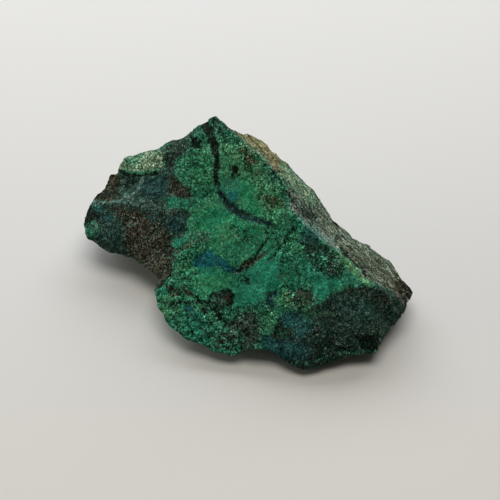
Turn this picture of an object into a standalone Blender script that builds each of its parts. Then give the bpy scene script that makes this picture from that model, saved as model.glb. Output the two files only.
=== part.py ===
# A hand specimen of chrysocolla: one broken, wedge-shaped lump of copper-stained rock.
# It lies on its flattest side with the long crest running from a high peak at the back
# down to the right end. A low dark lobe reaches out to the left, and a plate of green
# crust stands over the front. The whole stone is one solid.

import bmesh
import bpy
from mathutils import Vector, noise
from mathutils.geometry import delaunay_2d_cdt
from mathutils.kdtree import KDTree

MM = 0.001

# The stone's own lines, each a run of points in millimetres: X along its length, Y from
# the front lip towards the broken back, Z up from the surface that it lies on.
PEAK = (-11, 35, 43.5)
RIGHT_END = (52, -10, 9)
LEFT_END = (-54.5, 15.5, 15)

# Lower edge of the left lobe, from its end to the corner under the green plate.
LOBE_LIP = [
    LEFT_END, (-54, 12.5, 13), (-52.5, 9.5, 12), (-49.5, 8, 11), (-46.5, 6.5, 10),
    (-43.5, 5, 10), (-40, 4, 9.5), (-37, 2.5, 9.5), (-34.5, 0.5, 9), (-32, -1.5, 9),
    (-30.5, -3, 8.5), (-29.5, -5, 8.5),
]
# Lower edge of the green plate, round its corner and along the front.
PLATE_LIP = [
    (-31, -12, 13), (-30, -13.5, 11), (-30.5, -16.5, 11), (-29, -17.5, 10),
    (-27.5, -19, 9.5), (-27, -21.5, 9), (-25.5, -22.5, 8), (-23, -24.5, 7),
    (-20.5, -26.5, 6.5), (-17, -27.5, 6), (-14, -28.5, 5.5), (-12, -30, 4.5),
    (-9.5, -30.5, 4.5), (-5.5, -31.5, 4), (-3.5, -31.5, 4.5), (-2, -30.5, 5.5),
    (0.5, -31, 6.5), (3.5, -31, 7),
]
# Lower edge of the steep facet at the right front.
FACET_LIP = [
    (6.5, -31.5, 6), (9, -32.5, 5), (11.5, -34, 4), (14, -35.5, 3.5), (17, -36, 3),
    (19.5, -35, 3), (23.5, -33.5, 3.5), (28.5, -32.5, 4), (34, -31.5, 4.5),
    (38, -31.5, 5), (40, -30.5, 5.5), (41, -27.5, 6), (42.5, -24.5, 6), (44.5, -22, 6.5),
    (47.5, -19, 7), (49, -16.5, 7.5), (51, -13, 8), RIGHT_END,
]
# Rim of the broken back, from the right end up to the peak.
BACK_RIM = [
    RIGHT_END, (51, -7, 8.5), (49, -5, 9), (47, -1, 9), (45, 3, 9.5), (42, 4.5, 10.5),
    (37.5, 7, 12.5), (34, 7.5, 14), (31.5, 8, 15.5), (30, 9, 16.5), (28.5, 11, 19),
    (26, 12, 20.5), (23.5, 14.5, 23), (22, 17, 24), (20.5, 19, 25), (17.5, 21, 26.5),
    (15, 23.5, 28.5), (13, 25.5, 29), (9.5, 28, 31), (6.5, 31, 32), (4, 33, 33),
    (0.5, 33.5, 35.5), (-2, 32.5, 38), (-5, 31, 41), (-8.5, 33, 42.5), PEAK,
]
# Rim of the left side, from the peak down to the end of the lobe.
LEFT_RIM = [
    PEAK, (-12.5, 34.5, 43), (-14.5, 34, 42), (-16, 33.5, 41), (-18.5, 32.5, 39),
    (-21.5, 33.5, 36), (-23.5, 33.5, 34), (-26, 34, 32), (-29, 34.5, 30),
    (-30.5, 34, 29), (-34.5, 35, 27), (-39, 34.5, 25.5), (-41.5, 34, 24.5),
    (-42.5, 32.5, 24), (-44, 30, 22), (-46.5, 30, 21), (-47.5, 29, 20),
    (-47.5, 26.5, 19), (-49, 25.5, 19), (-51, 24.5, 18.5), (-52, 22, 18),
    (-53.5, 18.5, 16), LEFT_END,
]
# Foot of the back and left walls, where they turn under.
BACK_FOOT = [
    RIGHT_END, (51, -6, 5.5), (49, -3.5, 5), (47, 0.5, 5), (45, 4.5, 5), (42, 7, 5),
    (38, 10, 6), (32, 12, 7), (28, 16, 7), (24, 20, 8), (18, 27, 9), (13, 32, 9),
    (7, 37, 10), (0.5, 40, 10), (-5, 41.5, 11), (-11, 43, 12), (-16, 42, 11),
    (-20, 40.5, 11), (-26, 40.5, 10), (-34, 39.5, 9), (-41, 37.5, 9), (-46, 34, 9),
    (-50, 28.5, 9), (-53.5, 23, 9), LEFT_END,
]
# A ragged ledge half way down the back and left walls.
BACK_LEDGE = [
    (38.5, 8.5, 8.5), (35, 9.5, 10.5), (29.5, 12.5, 13), (24.5, 17, 15),
    (19.5, 24, 16), (13, 28.5, 20), (6.5, 35, 18), (1, 38, 21), (-5, 38, 25),
    (-11, 41, 23), (-16, 38.5, 27), (-20.5, 38.5, 21), (-27, 38.5, 19), (-33.5, 37, 19),
    (-40, 36.5, 15.5), (-44.5, 33, 14),
]
# Crest of the wedge, from the peak to the right end, with a step down near its middle.
CREST = [
    PEAK, (-5.5, 28.5, 42.5), (-1.5, 23.5, 41.5), (2.5, 20, 40.5), (6, 16, 39.5),
    (9.5, 13, 38.5), (11.5, 8.5, 36.5), (12, 3.5, 34.5), (14.5, 0.5, 33),
    (17.5, -1.5, 31.5), (22, -5, 29.5), (28, -8.5, 27), (32.5, -13, 24.5),
    (36.5, -17, 21.5), (40.5, -17.5, 19), (44.5, -17.5, 15.5), (49, -16.5, 7.5),
]
# Edge of the green plate where it steps down to the lobe, from the left rim to the
# plate's corner, and the gully that runs along its foot.
PLATE_EDGE = [
    (-18.5, 32.5, 39), (-19, 28, 39), (-22, 25, 35.5), (-23.5, 21.5, 33), (-21, 16.5, 31),
    (-19, 12, 28.5), (-19, 8.5, 26), (-19.5, 3.5, 22.5), (-20, -1.5, 21.5),
    (-23.5, -4, 19.5), (-25, -7.5, 18), (-26.5, -10, 16), (-31, -12, 13),
]
GULLY = [(-21.5, -1.5, 19), (-25.5, -1.5, 15), (-27.5, -4, 11.5), (-29.5, -5, 8.5)]
# The lobe: a pale ledge along its back, a short spur below it, the ridge along its
# middle, and the hollow between them.
PALE_LEDGE = [
    (-29, 34.5, 30), (-28.5, 31.5, 30.5), (-28.5, 26.5, 29), (-29, 24.5, 28),
    (-34, 24, 26.5), (-38.5, 27, 24.5), (-44, 30, 22),
]
SPUR = [(-34, 24, 26.5), (-36, 20.5, 24), (-40.5, 19, 22)]
HOLLOW = [(-42.5, 28, 20.5), (-40, 25, 20.5), (-43.5, 21.5, 19.5)]
LOBE_RIDGE = [
    (-52, 22, 18), (-48.5, 19, 19), (-44.5, 17.5, 20.5), (-40.5, 15.5, 22),
    (-35, 13.5, 23), (-27, 11.5, 24.5), (-19, 8.5, 26),
]
LOBE_BELLY = [(-47, 12, 16), (-38.5, 8, 17.5), (-30.5, 4.5, 17.5), (-25, 2, 18)]
LOBE_BROW = [(-27, 17, 27.5), (-32, 17, 25.5)]
# Top edge of the steep right-front facet, and the step in it.
FACET_EDGE = [
    (36.5, -17, 21.5), (27.5, -18.5, 21.5), (21, -21, 20), (15.5, -22, 17.5),
    (11, -24, 15), (7, -27, 11), (4.5, -30, 8), (3.5, -31, 7),
]
FACET_STEP = [(12.5, -33, 6), (17, -34, 5.5), (27.5, -31.5, 6.5), (37.5, -30.5, 7.5)]
SADDLE = [(14.5, 0.5, 33), (17, -7.5, 28.5), (23, -11, 25.5), (27.5, -18.5, 21.5)]

# Underside: a belly that rises to the edges, and the flat face that the stone rests on.
BELLY = [
    (-24, -8, 3), (-20, -19, 2.5), (-8, -26, 2), (4, -26, 2.5), (14, -31, 1.5),
    (30, -28.5, 1.5), (39, -23, 2.5), (43, -12, 3.5), (37, -1, 3), (27, 7, 3),
    (17, 17, 3), (7, 29, 3.5), (-6, 35, 4), (-20, 34, 4), (-32, 29, 4), (-38, 18, 4.5),
    (-30, 5, 4),
]
REST_FACE = [
    (-14, -12, 0), (8, -18, 0), (26, -16, 0), (30, -4, 0), (18, 10, 0), (2, 20, 0),
    (-14, 18, 0), (-20, 4, 0),
]

# The blunt turn under the stone's edge.
CHIN_INSET, CHIN_DROP = 1.4, 1.5

# Relief, in millimetres: each kind of unevenness has a size across and a height.
FINE_EDGE = 1.8
SOFTENING_PASSES = 4
SWELL_SIZE, SWELL_HEIGHT = 17, 0.9
BREAK_SIZE, BREAK_SLANT, BREAK_MOST = 10, 0.13, 0.4
CHIP_SIZE, CHIP_HEIGHT, CHIP_LEVEL = 6, 0.75, 0.35
GRIT_SIZE, GRIT_HEIGHT = 2.8, 0.38
# The rock is layered: beds run along the crest and break into small uneven ledges.
BED_ACROSS = Vector((0.67, 0.43, 0.61)).normalized()
BED_THICKNESS, BED_HEIGHT, BED_WAVER = 3.8, 0.75, 1.4
BED_LEAST, BED_SPREAD, BED_GAPS, BED_FACING = 0.5, 0.7, 0.45, 0.8
# The green plate is calmer than the broken rock round it.
PLATE_MIDDLE, PLATE_REACH, PLATE_RELIEF = Vector((-5, -1, 22)), 34, 0.4
# Relief fades towards the stone's outlines, which already hold their own breaks.
OUTLINE_FADE, OUTLINE_RELIEF = 5, 0.35
REST_FADE = 1.6

# The solid's triangle count, and the least height of rough rock over the rest face.
TRIANGLES = 9400
CLEARANCE = 0.05

STONE_COLOUR = (0.045, 0.22, 0.13, 1)
STONE_ROUGHNESS = 0.7


def clear_scene():
    for thing in list(bpy.data.objects):
        bpy.data.objects.remove(thing)


def closed(line):
    return line + line[:1]


def chin(outline):
    """The blunt turn just under the outline, a little inside it and lower."""
    line = []
    for before, point, after in zip(outline[-1:] + outline, outline, outline[1:] + outline[:1]):
        along = Vector(after).to_2d() - Vector(before).to_2d()
        inward = Vector((-along.y, along.x)).normalized() * CHIN_INSET
        line.append((point[0] + inward.x, point[1] + inward.y, point[2] - CHIN_DROP))
    return line


def skin(bm, corners, outline, lines, faces_down):
    """Skins one side of the stone with flat facets between its outline and its lines."""
    points = list(dict.fromkeys(outline + [p for line in lines for p in line]))
    places = {point: i for i, point in enumerate(points)}
    edges = [(places[a], places[b]) for line in lines for a, b in zip(line, line[1:])]
    rim = [places[p] for p in outline]
    flat = [Vector(p[:2]) for p in points]
    _, _, faces, found, _, _ = delaunay_2d_cdt(flat, edges, [rim], 1, 0.0001)
    for face in faces:
        loop = []
        for corner in face:
            point = points[found[corner][0]]
            if point not in corners:
                corners[point] = bm.verts.new(point)
            loop.append(corners[point])
        if faces_down:
            loop.reverse()
        bm.faces.new(loop)
    for line in lines:
        for a, b in zip(line, line[1:]):
            bm.edges.get((corners[a], corners[b])).smooth = False


def build_facets():
    bm = bmesh.new()
    corners = {}
    outline = LOBE_LIP + PLATE_LIP + FACET_LIP[:-1] + BACK_FOOT[:-1]
    ridges = [
        BACK_RIM, LEFT_RIM, BACK_LEDGE, CREST, PLATE_EDGE, GULLY, PALE_LEDGE, SPUR,
        HOLLOW, LOBE_RIDGE, LOBE_BELLY, LOBE_BROW, FACET_EDGE, FACET_STEP, SADDLE,
    ]
    skin(bm, corners, outline, ridges, faces_down=False)
    underside = [closed(chin(outline)), closed(BELLY), closed(REST_FACE)]
    skin(bm, corners, outline, underside, faces_down=True)
    for a, b in zip(outline, outline[1:] + outline[:1]):
        bm.edges.get((corners[a], corners[b])).smooth = False
    return bm


def refine(bm, longest):
    while True:
        long_edges = [e for e in bm.edges if e.calc_length() > longest]
        if not long_edges:
            return
        bmesh.ops.subdivide_edges(bm, edges=long_edges, cuts=1)
        bmesh.ops.triangulate(bm, faces=bm.faces[:])


def on_a_line(vert):
    return any(not edge.smooth for edge in vert.link_edges)


def soften(bm):
    """Rounds the facets into each other and leaves the stone's own lines crisp."""
    loose = [v for v in bm.verts if v.co.z > CLEARANCE and not on_a_line(v)]
    for _ in range(SOFTENING_PASSES):
        bmesh.ops.smooth_vert(
            bm, verts=loose, factor=0.5, use_axis_x=True, use_axis_y=True, use_axis_z=True
        )


def outline_tree():
    named = LOBE_LIP + PLATE_LIP + FACET_LIP + BACK_RIM + LEFT_RIM
    tree = KDTree(len(named))
    for i, point in enumerate(named):
        tree.insert(point, i)
    tree.balance()
    return tree


def fade(distance, reach):
    t = min(max(distance / reach, 0), 1)
    return t * t * (3 - 2 * t)


def break_height(place):
    """Broken facets: each cell of the rock has a slant of its own, with small steps between."""
    middle = noise.voronoi(place / BREAK_SIZE)[1][0]
    slant = noise.cell_vector(middle * BREAK_SIZE)
    height = (place / BREAK_SIZE - middle).dot(slant) * BREAK_SIZE * BREAK_SLANT
    return min(max(height, -BREAK_MOST), BREAK_MOST)


def bed_height(place, facing):
    """Ledges where the beds come out, on the faces that look along or behind the crest."""
    waver = noise.noise(place / SWELL_SIZE) * BED_WAVER
    depth = place.dot(BED_ACROSS) / BED_THICKNESS + waver
    own_height = BED_LEAST + BED_SPREAD * abs(noise.cell(Vector((depth // 1, 0, 0))))
    ledge = (0.5 - depth % 1) * BED_HEIGHT * own_height
    unbroken = fade(noise.noise(place / CHIP_SIZE) + BED_GAPS, BED_GAPS)
    return ledge * unbroken * fade(facing.x + facing.y, BED_FACING)


def relief(place, facing):
    swell = noise.fractal(place / SWELL_SIZE, 1.0, 2.0, 2) * SWELL_HEIGHT
    near = noise.voronoi(place / CHIP_SIZE)[0]
    chip = (near[1] - near[0] - CHIP_LEVEL) * CHIP_HEIGHT
    grit = noise.fractal(place / GRIT_SIZE, 0.8, 2.0, 2) * GRIT_HEIGHT
    calm = fade((place - PLATE_MIDDLE).length, PLATE_REACH)
    share = PLATE_RELIEF + (1 - PLATE_RELIEF) * calm
    return (swell + chip + grit + break_height(place)) * share + bed_height(place, facing)


def roughen(bm):
    tree = outline_tree()
    bm.normal_update()
    moves = []
    for vert in bm.verts:
        if vert.co.z > CLEARANCE:
            nearest = tree.find(vert.co)[2]
            share = OUTLINE_RELIEF + (1 - OUTLINE_RELIEF) * fade(nearest, OUTLINE_FADE)
            share *= fade(vert.co.z, REST_FADE)
            moves.append((vert, vert.normal * relief(vert.co, vert.normal) * share))
    for vert, move in moves:
        vert.co += move
        vert.co.z = max(vert.co.z, CLEARANCE)


def thin_out(stone):
    """Keeps triangles where the relief needs them, and lays the rest face flat again."""
    whole = len(stone.data.polygons)
    sparing = stone.modifiers.new("sparing", "DECIMATE")
    sparing.ratio = TRIANGLES / whole
    bpy.context.view_layer.update()
    kept = stone.evaluated_get(bpy.context.evaluated_depsgraph_get())
    mesh = bpy.data.meshes.new_from_object(kept)
    stone.modifiers.remove(sparing)
    stone.data = mesh
    for vert in mesh.vertices:
        if vert.co.z < CLEARANCE * MM * 1.5:
            vert.co.z = 0


def stand_on_origin(mesh):
    """Puts the origin under the middle of the stone, on the surface that it rests on."""
    middle = [
        (min(v.co[axis] for v in mesh.vertices) + max(v.co[axis] for v in mesh.vertices)) / 2
        for axis in (0, 1)
    ]
    for vert in mesh.vertices:
        vert.co.x -= middle[0]
        vert.co.y -= middle[1]


def stone_material():
    material = bpy.data.materials.new("chrysocolla")
    material.use_nodes = True
    shader = material.node_tree.nodes["Principled BSDF"]
    shader.inputs["Base Color"].default_value = STONE_COLOUR
    shader.inputs["Roughness"].default_value = STONE_ROUGHNESS
    shader.inputs["Metallic"].default_value = 0
    return material


def make_stone():
    bm = build_facets()
    refine(bm, FINE_EDGE)
    soften(bm)
    roughen(bm)
    bmesh.ops.scale(bm, vec=(MM, MM, MM), verts=bm.verts)
    mesh = bpy.data.meshes.new("chrysocolla_rock")
    bm.to_mesh(mesh)
    bm.free()
    stone = bpy.data.objects.new("chrysocolla_rock", mesh)
    bpy.context.collection.objects.link(stone)
    thin_out(stone)
    stand_on_origin(stone.data)
    stone.data.materials.append(stone_material())
    return stone


clear_scene()
make_stone()
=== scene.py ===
import math

import bmesh
import bpy
import numpy as np
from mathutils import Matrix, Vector, noise
from mathutils.bvhtree import BVHTree
from mathutils.kdtree import KDTree


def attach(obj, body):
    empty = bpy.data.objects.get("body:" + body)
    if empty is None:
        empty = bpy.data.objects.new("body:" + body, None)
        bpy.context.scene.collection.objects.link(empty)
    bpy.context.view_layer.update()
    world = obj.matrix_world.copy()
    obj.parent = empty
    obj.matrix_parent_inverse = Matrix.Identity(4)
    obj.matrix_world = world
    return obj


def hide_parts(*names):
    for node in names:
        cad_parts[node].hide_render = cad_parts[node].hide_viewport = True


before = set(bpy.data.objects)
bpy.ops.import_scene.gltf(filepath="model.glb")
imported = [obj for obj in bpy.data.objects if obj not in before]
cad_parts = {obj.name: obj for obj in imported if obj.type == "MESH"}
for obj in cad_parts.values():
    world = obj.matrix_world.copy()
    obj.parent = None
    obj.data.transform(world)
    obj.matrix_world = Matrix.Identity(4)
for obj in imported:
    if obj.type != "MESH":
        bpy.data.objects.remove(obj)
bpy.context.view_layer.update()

mm = 0.001

# where the stone is looked at from
view = {
    "tilt": math.radians(50),  # how far above the table the eye is
    "distance": 0.44,
    "lens": 100,
    "sensor": 36,
    "nearest": 0.01,
    "aim": Vector((0.0012, -0.0031, 0.018)),
    "frameSize": 500,
}


def eyePoint():
    away = Vector((0, -math.cos(view["tilt"]), math.sin(view["tilt"])))
    return view["aim"] + away * view["distance"]


def addCamera():
    data = bpy.data.cameras.new("stillCamera")
    data.lens = view["lens"]
    data.sensor_width = view["sensor"]
    data.clip_start = view["nearest"]
    camera = bpy.data.objects.new("stillCamera", data)
    camera.location = eyePoint()
    camera.rotation_euler = (math.pi / 2 - view["tilt"], 0, 0)
    bpy.context.collection.objects.link(camera)
    bpy.context.scene.camera = camera


# sockets of a Mix node: share, first, second and result
mixSockets = {"FLOAT": (0, 2, 3, 0), "RGBA": (0, 6, 7, 2)}


def plug(tree, socket, value):
    # value is another node's socket, a number or a tuple; a colour of three parts is made solid
    if isinstance(value, bpy.types.NodeSocket):
        tree.links.new(value, socket)
    elif socket.type == "RGBA":
        socket.default_value = (*value[:3], 1)
    else:
        socket.default_value = value


def addNode(tree, kind, **values):
    node = tree.nodes.new(kind)
    for name, value in values.items():
        if hasattr(node, name):
            setattr(node, name, value)
        else:
            plug(tree, node.inputs[name.replace("_", " ")], value)
    return node


def mathNode(tree, operation, *values, clamp=False):
    node = addNode(tree, "ShaderNodeMath", operation=operation, use_clamp=clamp)
    for socket, value in zip(node.inputs, values):
        plug(tree, socket, value)
    return node.outputs[0]


def times(tree, first, second, clamp=False):
    return mathNode(tree, "MULTIPLY", first, second, clamp=clamp)


def plus(tree, first, second, clamp=False):
    return mathNode(tree, "ADD", first, second, clamp=clamp)


def minus(tree, first, second, clamp=False):
    return mathNode(tree, "SUBTRACT", first, second, clamp=clamp)


def mixNode(tree, kind, share, first, second):
    *taken, result = mixSockets[kind]
    node = addNode(tree, "ShaderNodeMix", data_type=kind)
    for number, value in zip(taken, (share, first, second)):
        plug(tree, node.inputs[number], value)
    return node.outputs[result]


def ramp(tree, value, low, high, style="SMOOTHSTEP"):
    # 0 at low and 1 at high
    node = addNode(tree, "ShaderNodeMapRange", interpolation_type=style, Value=value,
                   From_Min=low, From_Max=high)
    return node.outputs["Result"]


# table, light and air
studio = {
    "tableSize": 2.4,
    "tableFar": (0.695, 0.692, 0.692),
    "tableNear": (0.75, 0.73, 0.69),
    "tableTurn": (0.03, -0.13),  # where the far tone starts to change and where it has changed
    "tableRoughness": 0.8,
    "tableSpecular": 0.15,
    "softbox": {"width": 1.3, "depth": 0.35, "power": 5.8, "place": (-0.04, 0.55, 0.44),
                "colour": (0.955, 0.975, 1.0)},
    "ceiling": {"width": 0.9, "depth": 0.6, "power": 5.6, "place": (0.02, 0.08, 1.1),
                "colour": (1.0, 0.970, 0.885)},
    "fill": {"width": 0.7, "depth": 0.4, "power": 1.1, "place": (-0.74, 0.04, 0.22),
             "colour": (1.0, 0.96, 0.88)},
    "airColour": (1.0, 0.925, 0.78),
    "airStrength": 0.055,
}


def paperMaterial():
    material = bpy.data.materials.new("whitePaper")
    material.use_nodes = True
    tree = material.node_tree
    shader = tree.nodes["Principled BSDF"]
    coords = tree.nodes.new("ShaderNodeTexCoord")
    split = addNode(tree, "ShaderNodeSeparateXYZ", Vector=coords.outputs["Object"])
    turn = ramp(tree, split.outputs["Y"], *studio["tableTurn"])
    tone = mixNode(tree, "RGBA", turn, studio["tableFar"], studio["tableNear"])
    plug(tree, shader.inputs["Base Color"], tone)
    shader.inputs["Roughness"].default_value = studio["tableRoughness"]
    shader.inputs["Specular IOR Level"].default_value = studio["tableSpecular"]
    return material


def addTable():
    bm = bmesh.new()
    bmesh.ops.create_grid(bm, x_segments=1, y_segments=1, size=studio["tableSize"] / 2)
    mesh = bpy.data.meshes.new("table")
    bm.to_mesh(mesh)
    bm.free()
    table = bpy.data.objects.new("table", mesh)
    bpy.context.collection.objects.link(table)
    table.data.materials.append(paperMaterial())


def addAreaLight(name):
    kit = studio[name]
    data = bpy.data.lights.new(name, "AREA")
    data.shape = "RECTANGLE"
    data.size = kit["width"]
    data.size_y = kit["depth"]
    data.energy = kit["power"]
    data.color = kit["colour"]
    light = bpy.data.objects.new(name, data)
    light.location = kit["place"]
    light.rotation_euler = (-light.location).to_track_quat("-Z", "Y").to_euler()
    bpy.context.collection.objects.link(light)


def addLights():
    addAreaLight("softbox")
    addAreaLight("ceiling")
    addAreaLight("fill")
    world = bpy.data.worlds.new("air")
    bpy.context.scene.world = world
    world.use_nodes = True
    air = world.node_tree.nodes["Background"]
    air.inputs["Color"].default_value = (*studio["airColour"], 1)
    air.inputs["Strength"].default_value = studio["airStrength"]
    bpy.context.scene.view_settings.view_transform = "Standard"


# the stone's form
form = {
    "node": "chrysocolla_rock",
    "weld": 0.01 * mm,
    "seenEdge": 0.54 * mm,
    "hiddenEdge": 1.3 * mm,
    "softening": 3,  # rounds
    "softenBy": 0.5,
    "passes": 4,
    "restHeight": 0.02 * mm,
    "restFade": 1.2 * mm,
    "sightGap": 0.25 * mm,  # how far off the surface a line of sight starts
    "grazing": 0.02,  # faces turned further away than this count as hidden
}


def smoothStep(low, high, value):
    t = np.clip((value - low) / (high - low), 0, 1)
    return t * t * (3 - 2 * t)


def splitLong(bm):
    # the side that faces the eye gets the finer mesh, and the flat resting face stays coarse
    eye = eyePoint()
    for _ in range(form["passes"]):
        bm.normal_update()
        long = []
        for edge in bm.edges:
            if max(v.co.z for v in edge.verts) < form["restHeight"]:
                continue
            corner = edge.verts[0]
            seen = any(f.normal.dot(eye - corner.co) > 0 for f in edge.link_faces)
            if edge.calc_length() > (form["seenEdge"] if seen else form["hiddenEdge"]):
                long.append(edge)
        if not long:
            return
        bmesh.ops.subdivide_edges(bm, edges=long, cuts=1)
        bmesh.ops.triangulate(bm, faces=bm.faces[:])


def stoneBlank():
    bm = bmesh.new()
    bm.from_mesh(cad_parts[form["node"]].data)
    bmesh.ops.remove_doubles(bm, verts=bm.verts, dist=form["weld"])
    splitLong(bm)
    loose = [v for v in bm.verts if v.co.z > form["restHeight"]]
    for _ in range(form["softening"]):
        bmesh.ops.smooth_vert(bm, verts=loose, factor=form["softenBy"],
                              use_axis_x=True, use_axis_y=True, use_axis_z=True)
    bm.normal_update()
    return bm


def chartOf(places):
    # the flat chart that the markings are drawn on: steps across and down a frame of frameSize
    reach = np.array(places) - np.array(eyePoint())
    up = np.array((0, math.sin(view["tilt"]), math.cos(view["tilt"])))
    ahead = np.array((0, math.cos(view["tilt"]), -math.sin(view["tilt"])))
    scale = view["frameSize"] * view["lens"] / view["sensor"] / (reach @ ahead)
    middle = view["frameSize"] / 2
    return middle + reach[:, 0] * scale, middle - (reach @ up) * scale


def seenFrom(bm):
    eye = eyePoint()
    tree = BVHTree.FromBMesh(bm)
    seen = []
    for vert in bm.verts:
        ray = (eye - vert.co).normalized()
        if vert.normal.dot(ray) < form["grazing"]:
            seen.append(False)
            continue
        start = vert.co + vert.normal * form["sightGap"]
        seen.append(tree.ray_cast(start, ray)[0] is None)
    return np.array(seen)


# Each mineral's three shades, its kind of tone, how far its border is scattered by the grain, how gently
# the border fades, and its roughness. They lie over each other in this order. Under them all is bare green
# rock, which goes from sea green to leaf green.
minerals = {
    "sea": {"deep": (0.006, 0.062, 0.038), "middle": (0.024, 0.222, 0.138), "light": (0.125, 0.500, 0.335),
            "tone": "even"},
    "leaf": {"deep": (0.012, 0.066, 0.028), "middle": (0.050, 0.232, 0.104), "light": (0.190, 0.520, 0.280),
             "tone": "even"},
    "jade": {"deep": (0.010, 0.110, 0.047), "middle": (0.014, 0.200, 0.094), "light": (0.070, 0.410, 0.210),
             "tone": "even", "scatter": 0.9, "fade": 0.48, "roughness": 0.6},
    "mint": {"deep": (0.012, 0.110, 0.052), "middle": (0.034, 0.290, 0.145), "light": (0.120, 0.510, 0.285),
             "tone": "even", "scatter": 0.9, "fade": 0.48, "roughness": 0.6},
    "teal": {"deep": (0.007, 0.130, 0.074), "middle": (0.022, 0.245, 0.150), "light": (0.085, 0.450, 0.285),
             "tone": "even", "scatter": 0.9, "fade": 0.48, "roughness": 0.6},
    "pale": {"deep": (0.020, 0.065, 0.030), "middle": (0.125, 0.208, 0.120), "light": (0.500, 0.610, 0.410),
             "tone": "bold", "scatter": 1.2, "fade": 0.4, "roughness": 0.75},
    "lime": {"deep": (0.025, 0.110, 0.045), "middle": (0.105, 0.300, 0.135), "light": (0.290, 0.550, 0.290),
             "tone": "even", "scatter": 0.9, "fade": 0.4, "roughness": 0.7},
    "tan": {"deep": (0.018, 0.036, 0.022), "middle": (0.110, 0.155, 0.110), "light": (0.400, 0.450, 0.350),
            "tone": "lined", "scatter": 0.9, "fade": 0.25, "roughness": 0.8},
    "ochre": {"deep": (0.050, 0.054, 0.023), "middle": (0.220, 0.215, 0.105), "light": (0.480, 0.440, 0.250),
              "tone": "lined", "scatter": 1.0, "fade": 0.4, "roughness": 0.8},
    "rust": {"deep": (0.012, 0.009, 0.004), "middle": (0.085, 0.055, 0.026), "light": (0.220, 0.180, 0.095),
             "tone": "gritty", "scatter": 1.6, "fade": 0.3, "roughness": 0.8},
    "dark": {"deep": (0.002, 0.008, 0.006), "middle": (0.017, 0.046, 0.036), "light": (0.100, 0.165, 0.134),
             "tone": "lively", "scatter": 1.3, "fade": 0.36, "roughness": 0.5},
    "slate": {"deep": (0.001, 0.010, 0.011), "middle": (0.007, 0.040, 0.042), "light": (0.036, 0.118, 0.120),
              "tone": "lively", "scatter": 1.1, "fade": 0.45, "roughness": 0.45},
    "brown": {"deep": (0.004, 0.003, 0.002), "middle": (0.030, 0.026, 0.019), "light": (0.140, 0.122, 0.085),
              "tone": "gritty", "scatter": 1.6, "fade": 0.28, "roughness": 0.75},
    # a pale grey-green wash: partly the rock's own colour, partly painted sheen and highlights along ridges
    "paleWashAndSheen": {"deep": (0.006, 0.021, 0.018), "middle": (0.026, 0.060, 0.050), "light": (0.160, 0.245, 0.210),
             "tone": "strong", "scatter": 1.2, "fade": 0.4, "roughness": 0.6},
    "steel": {"deep": (0.003, 0.032, 0.033), "middle": (0.019, 0.112, 0.110), "light": (0.075, 0.250, 0.245),
              "tone": "lively", "scatter": 1.0, "fade": 0.45, "roughness": 0.5},
    # pale lines: partly scuffs, mostly painted highlights along the crest and edges, and painted sheen on
    # the facet
    "paleLineAndHighlight": {"deep": (0.014, 0.055, 0.046), "middle": (0.095, 0.215, 0.180), "light": (0.320, 0.540, 0.470),
              "tone": "strong", "scatter": 1.5, "fade": 0.3, "roughness": 0.6},
    "blue": {"deep": (0.002, 0.048, 0.056), "middle": (0.008, 0.118, 0.130), "light": (0.024, 0.210, 0.220),
             "tone": "even", "scatter": 0.4, "fade": 0.4, "roughness": 0.55},
    "black": {"deep": (0.001, 0.001, 0.001), "middle": (0.003, 0.006, 0.005), "light": (0.030, 0.050, 0.039),
              "tone": "strong", "scatter": 1.4, "fade": 0.25, "roughness": 0.6},
}
bareGreens = ("sea", "leaf")
kinds = [kind for kind in minerals if kind not in bareGreens]

# how far a marking's edge wanders, by lumps of this size and, across and down, these shifts
borderWander = {
    "wide": {"reach": 2.6, "size": 3.2, "shifts": (3, 13)},
    "fine": {"reach": 1.5, "size": 1.1, "shifts": (5, 15)},
}

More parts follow.
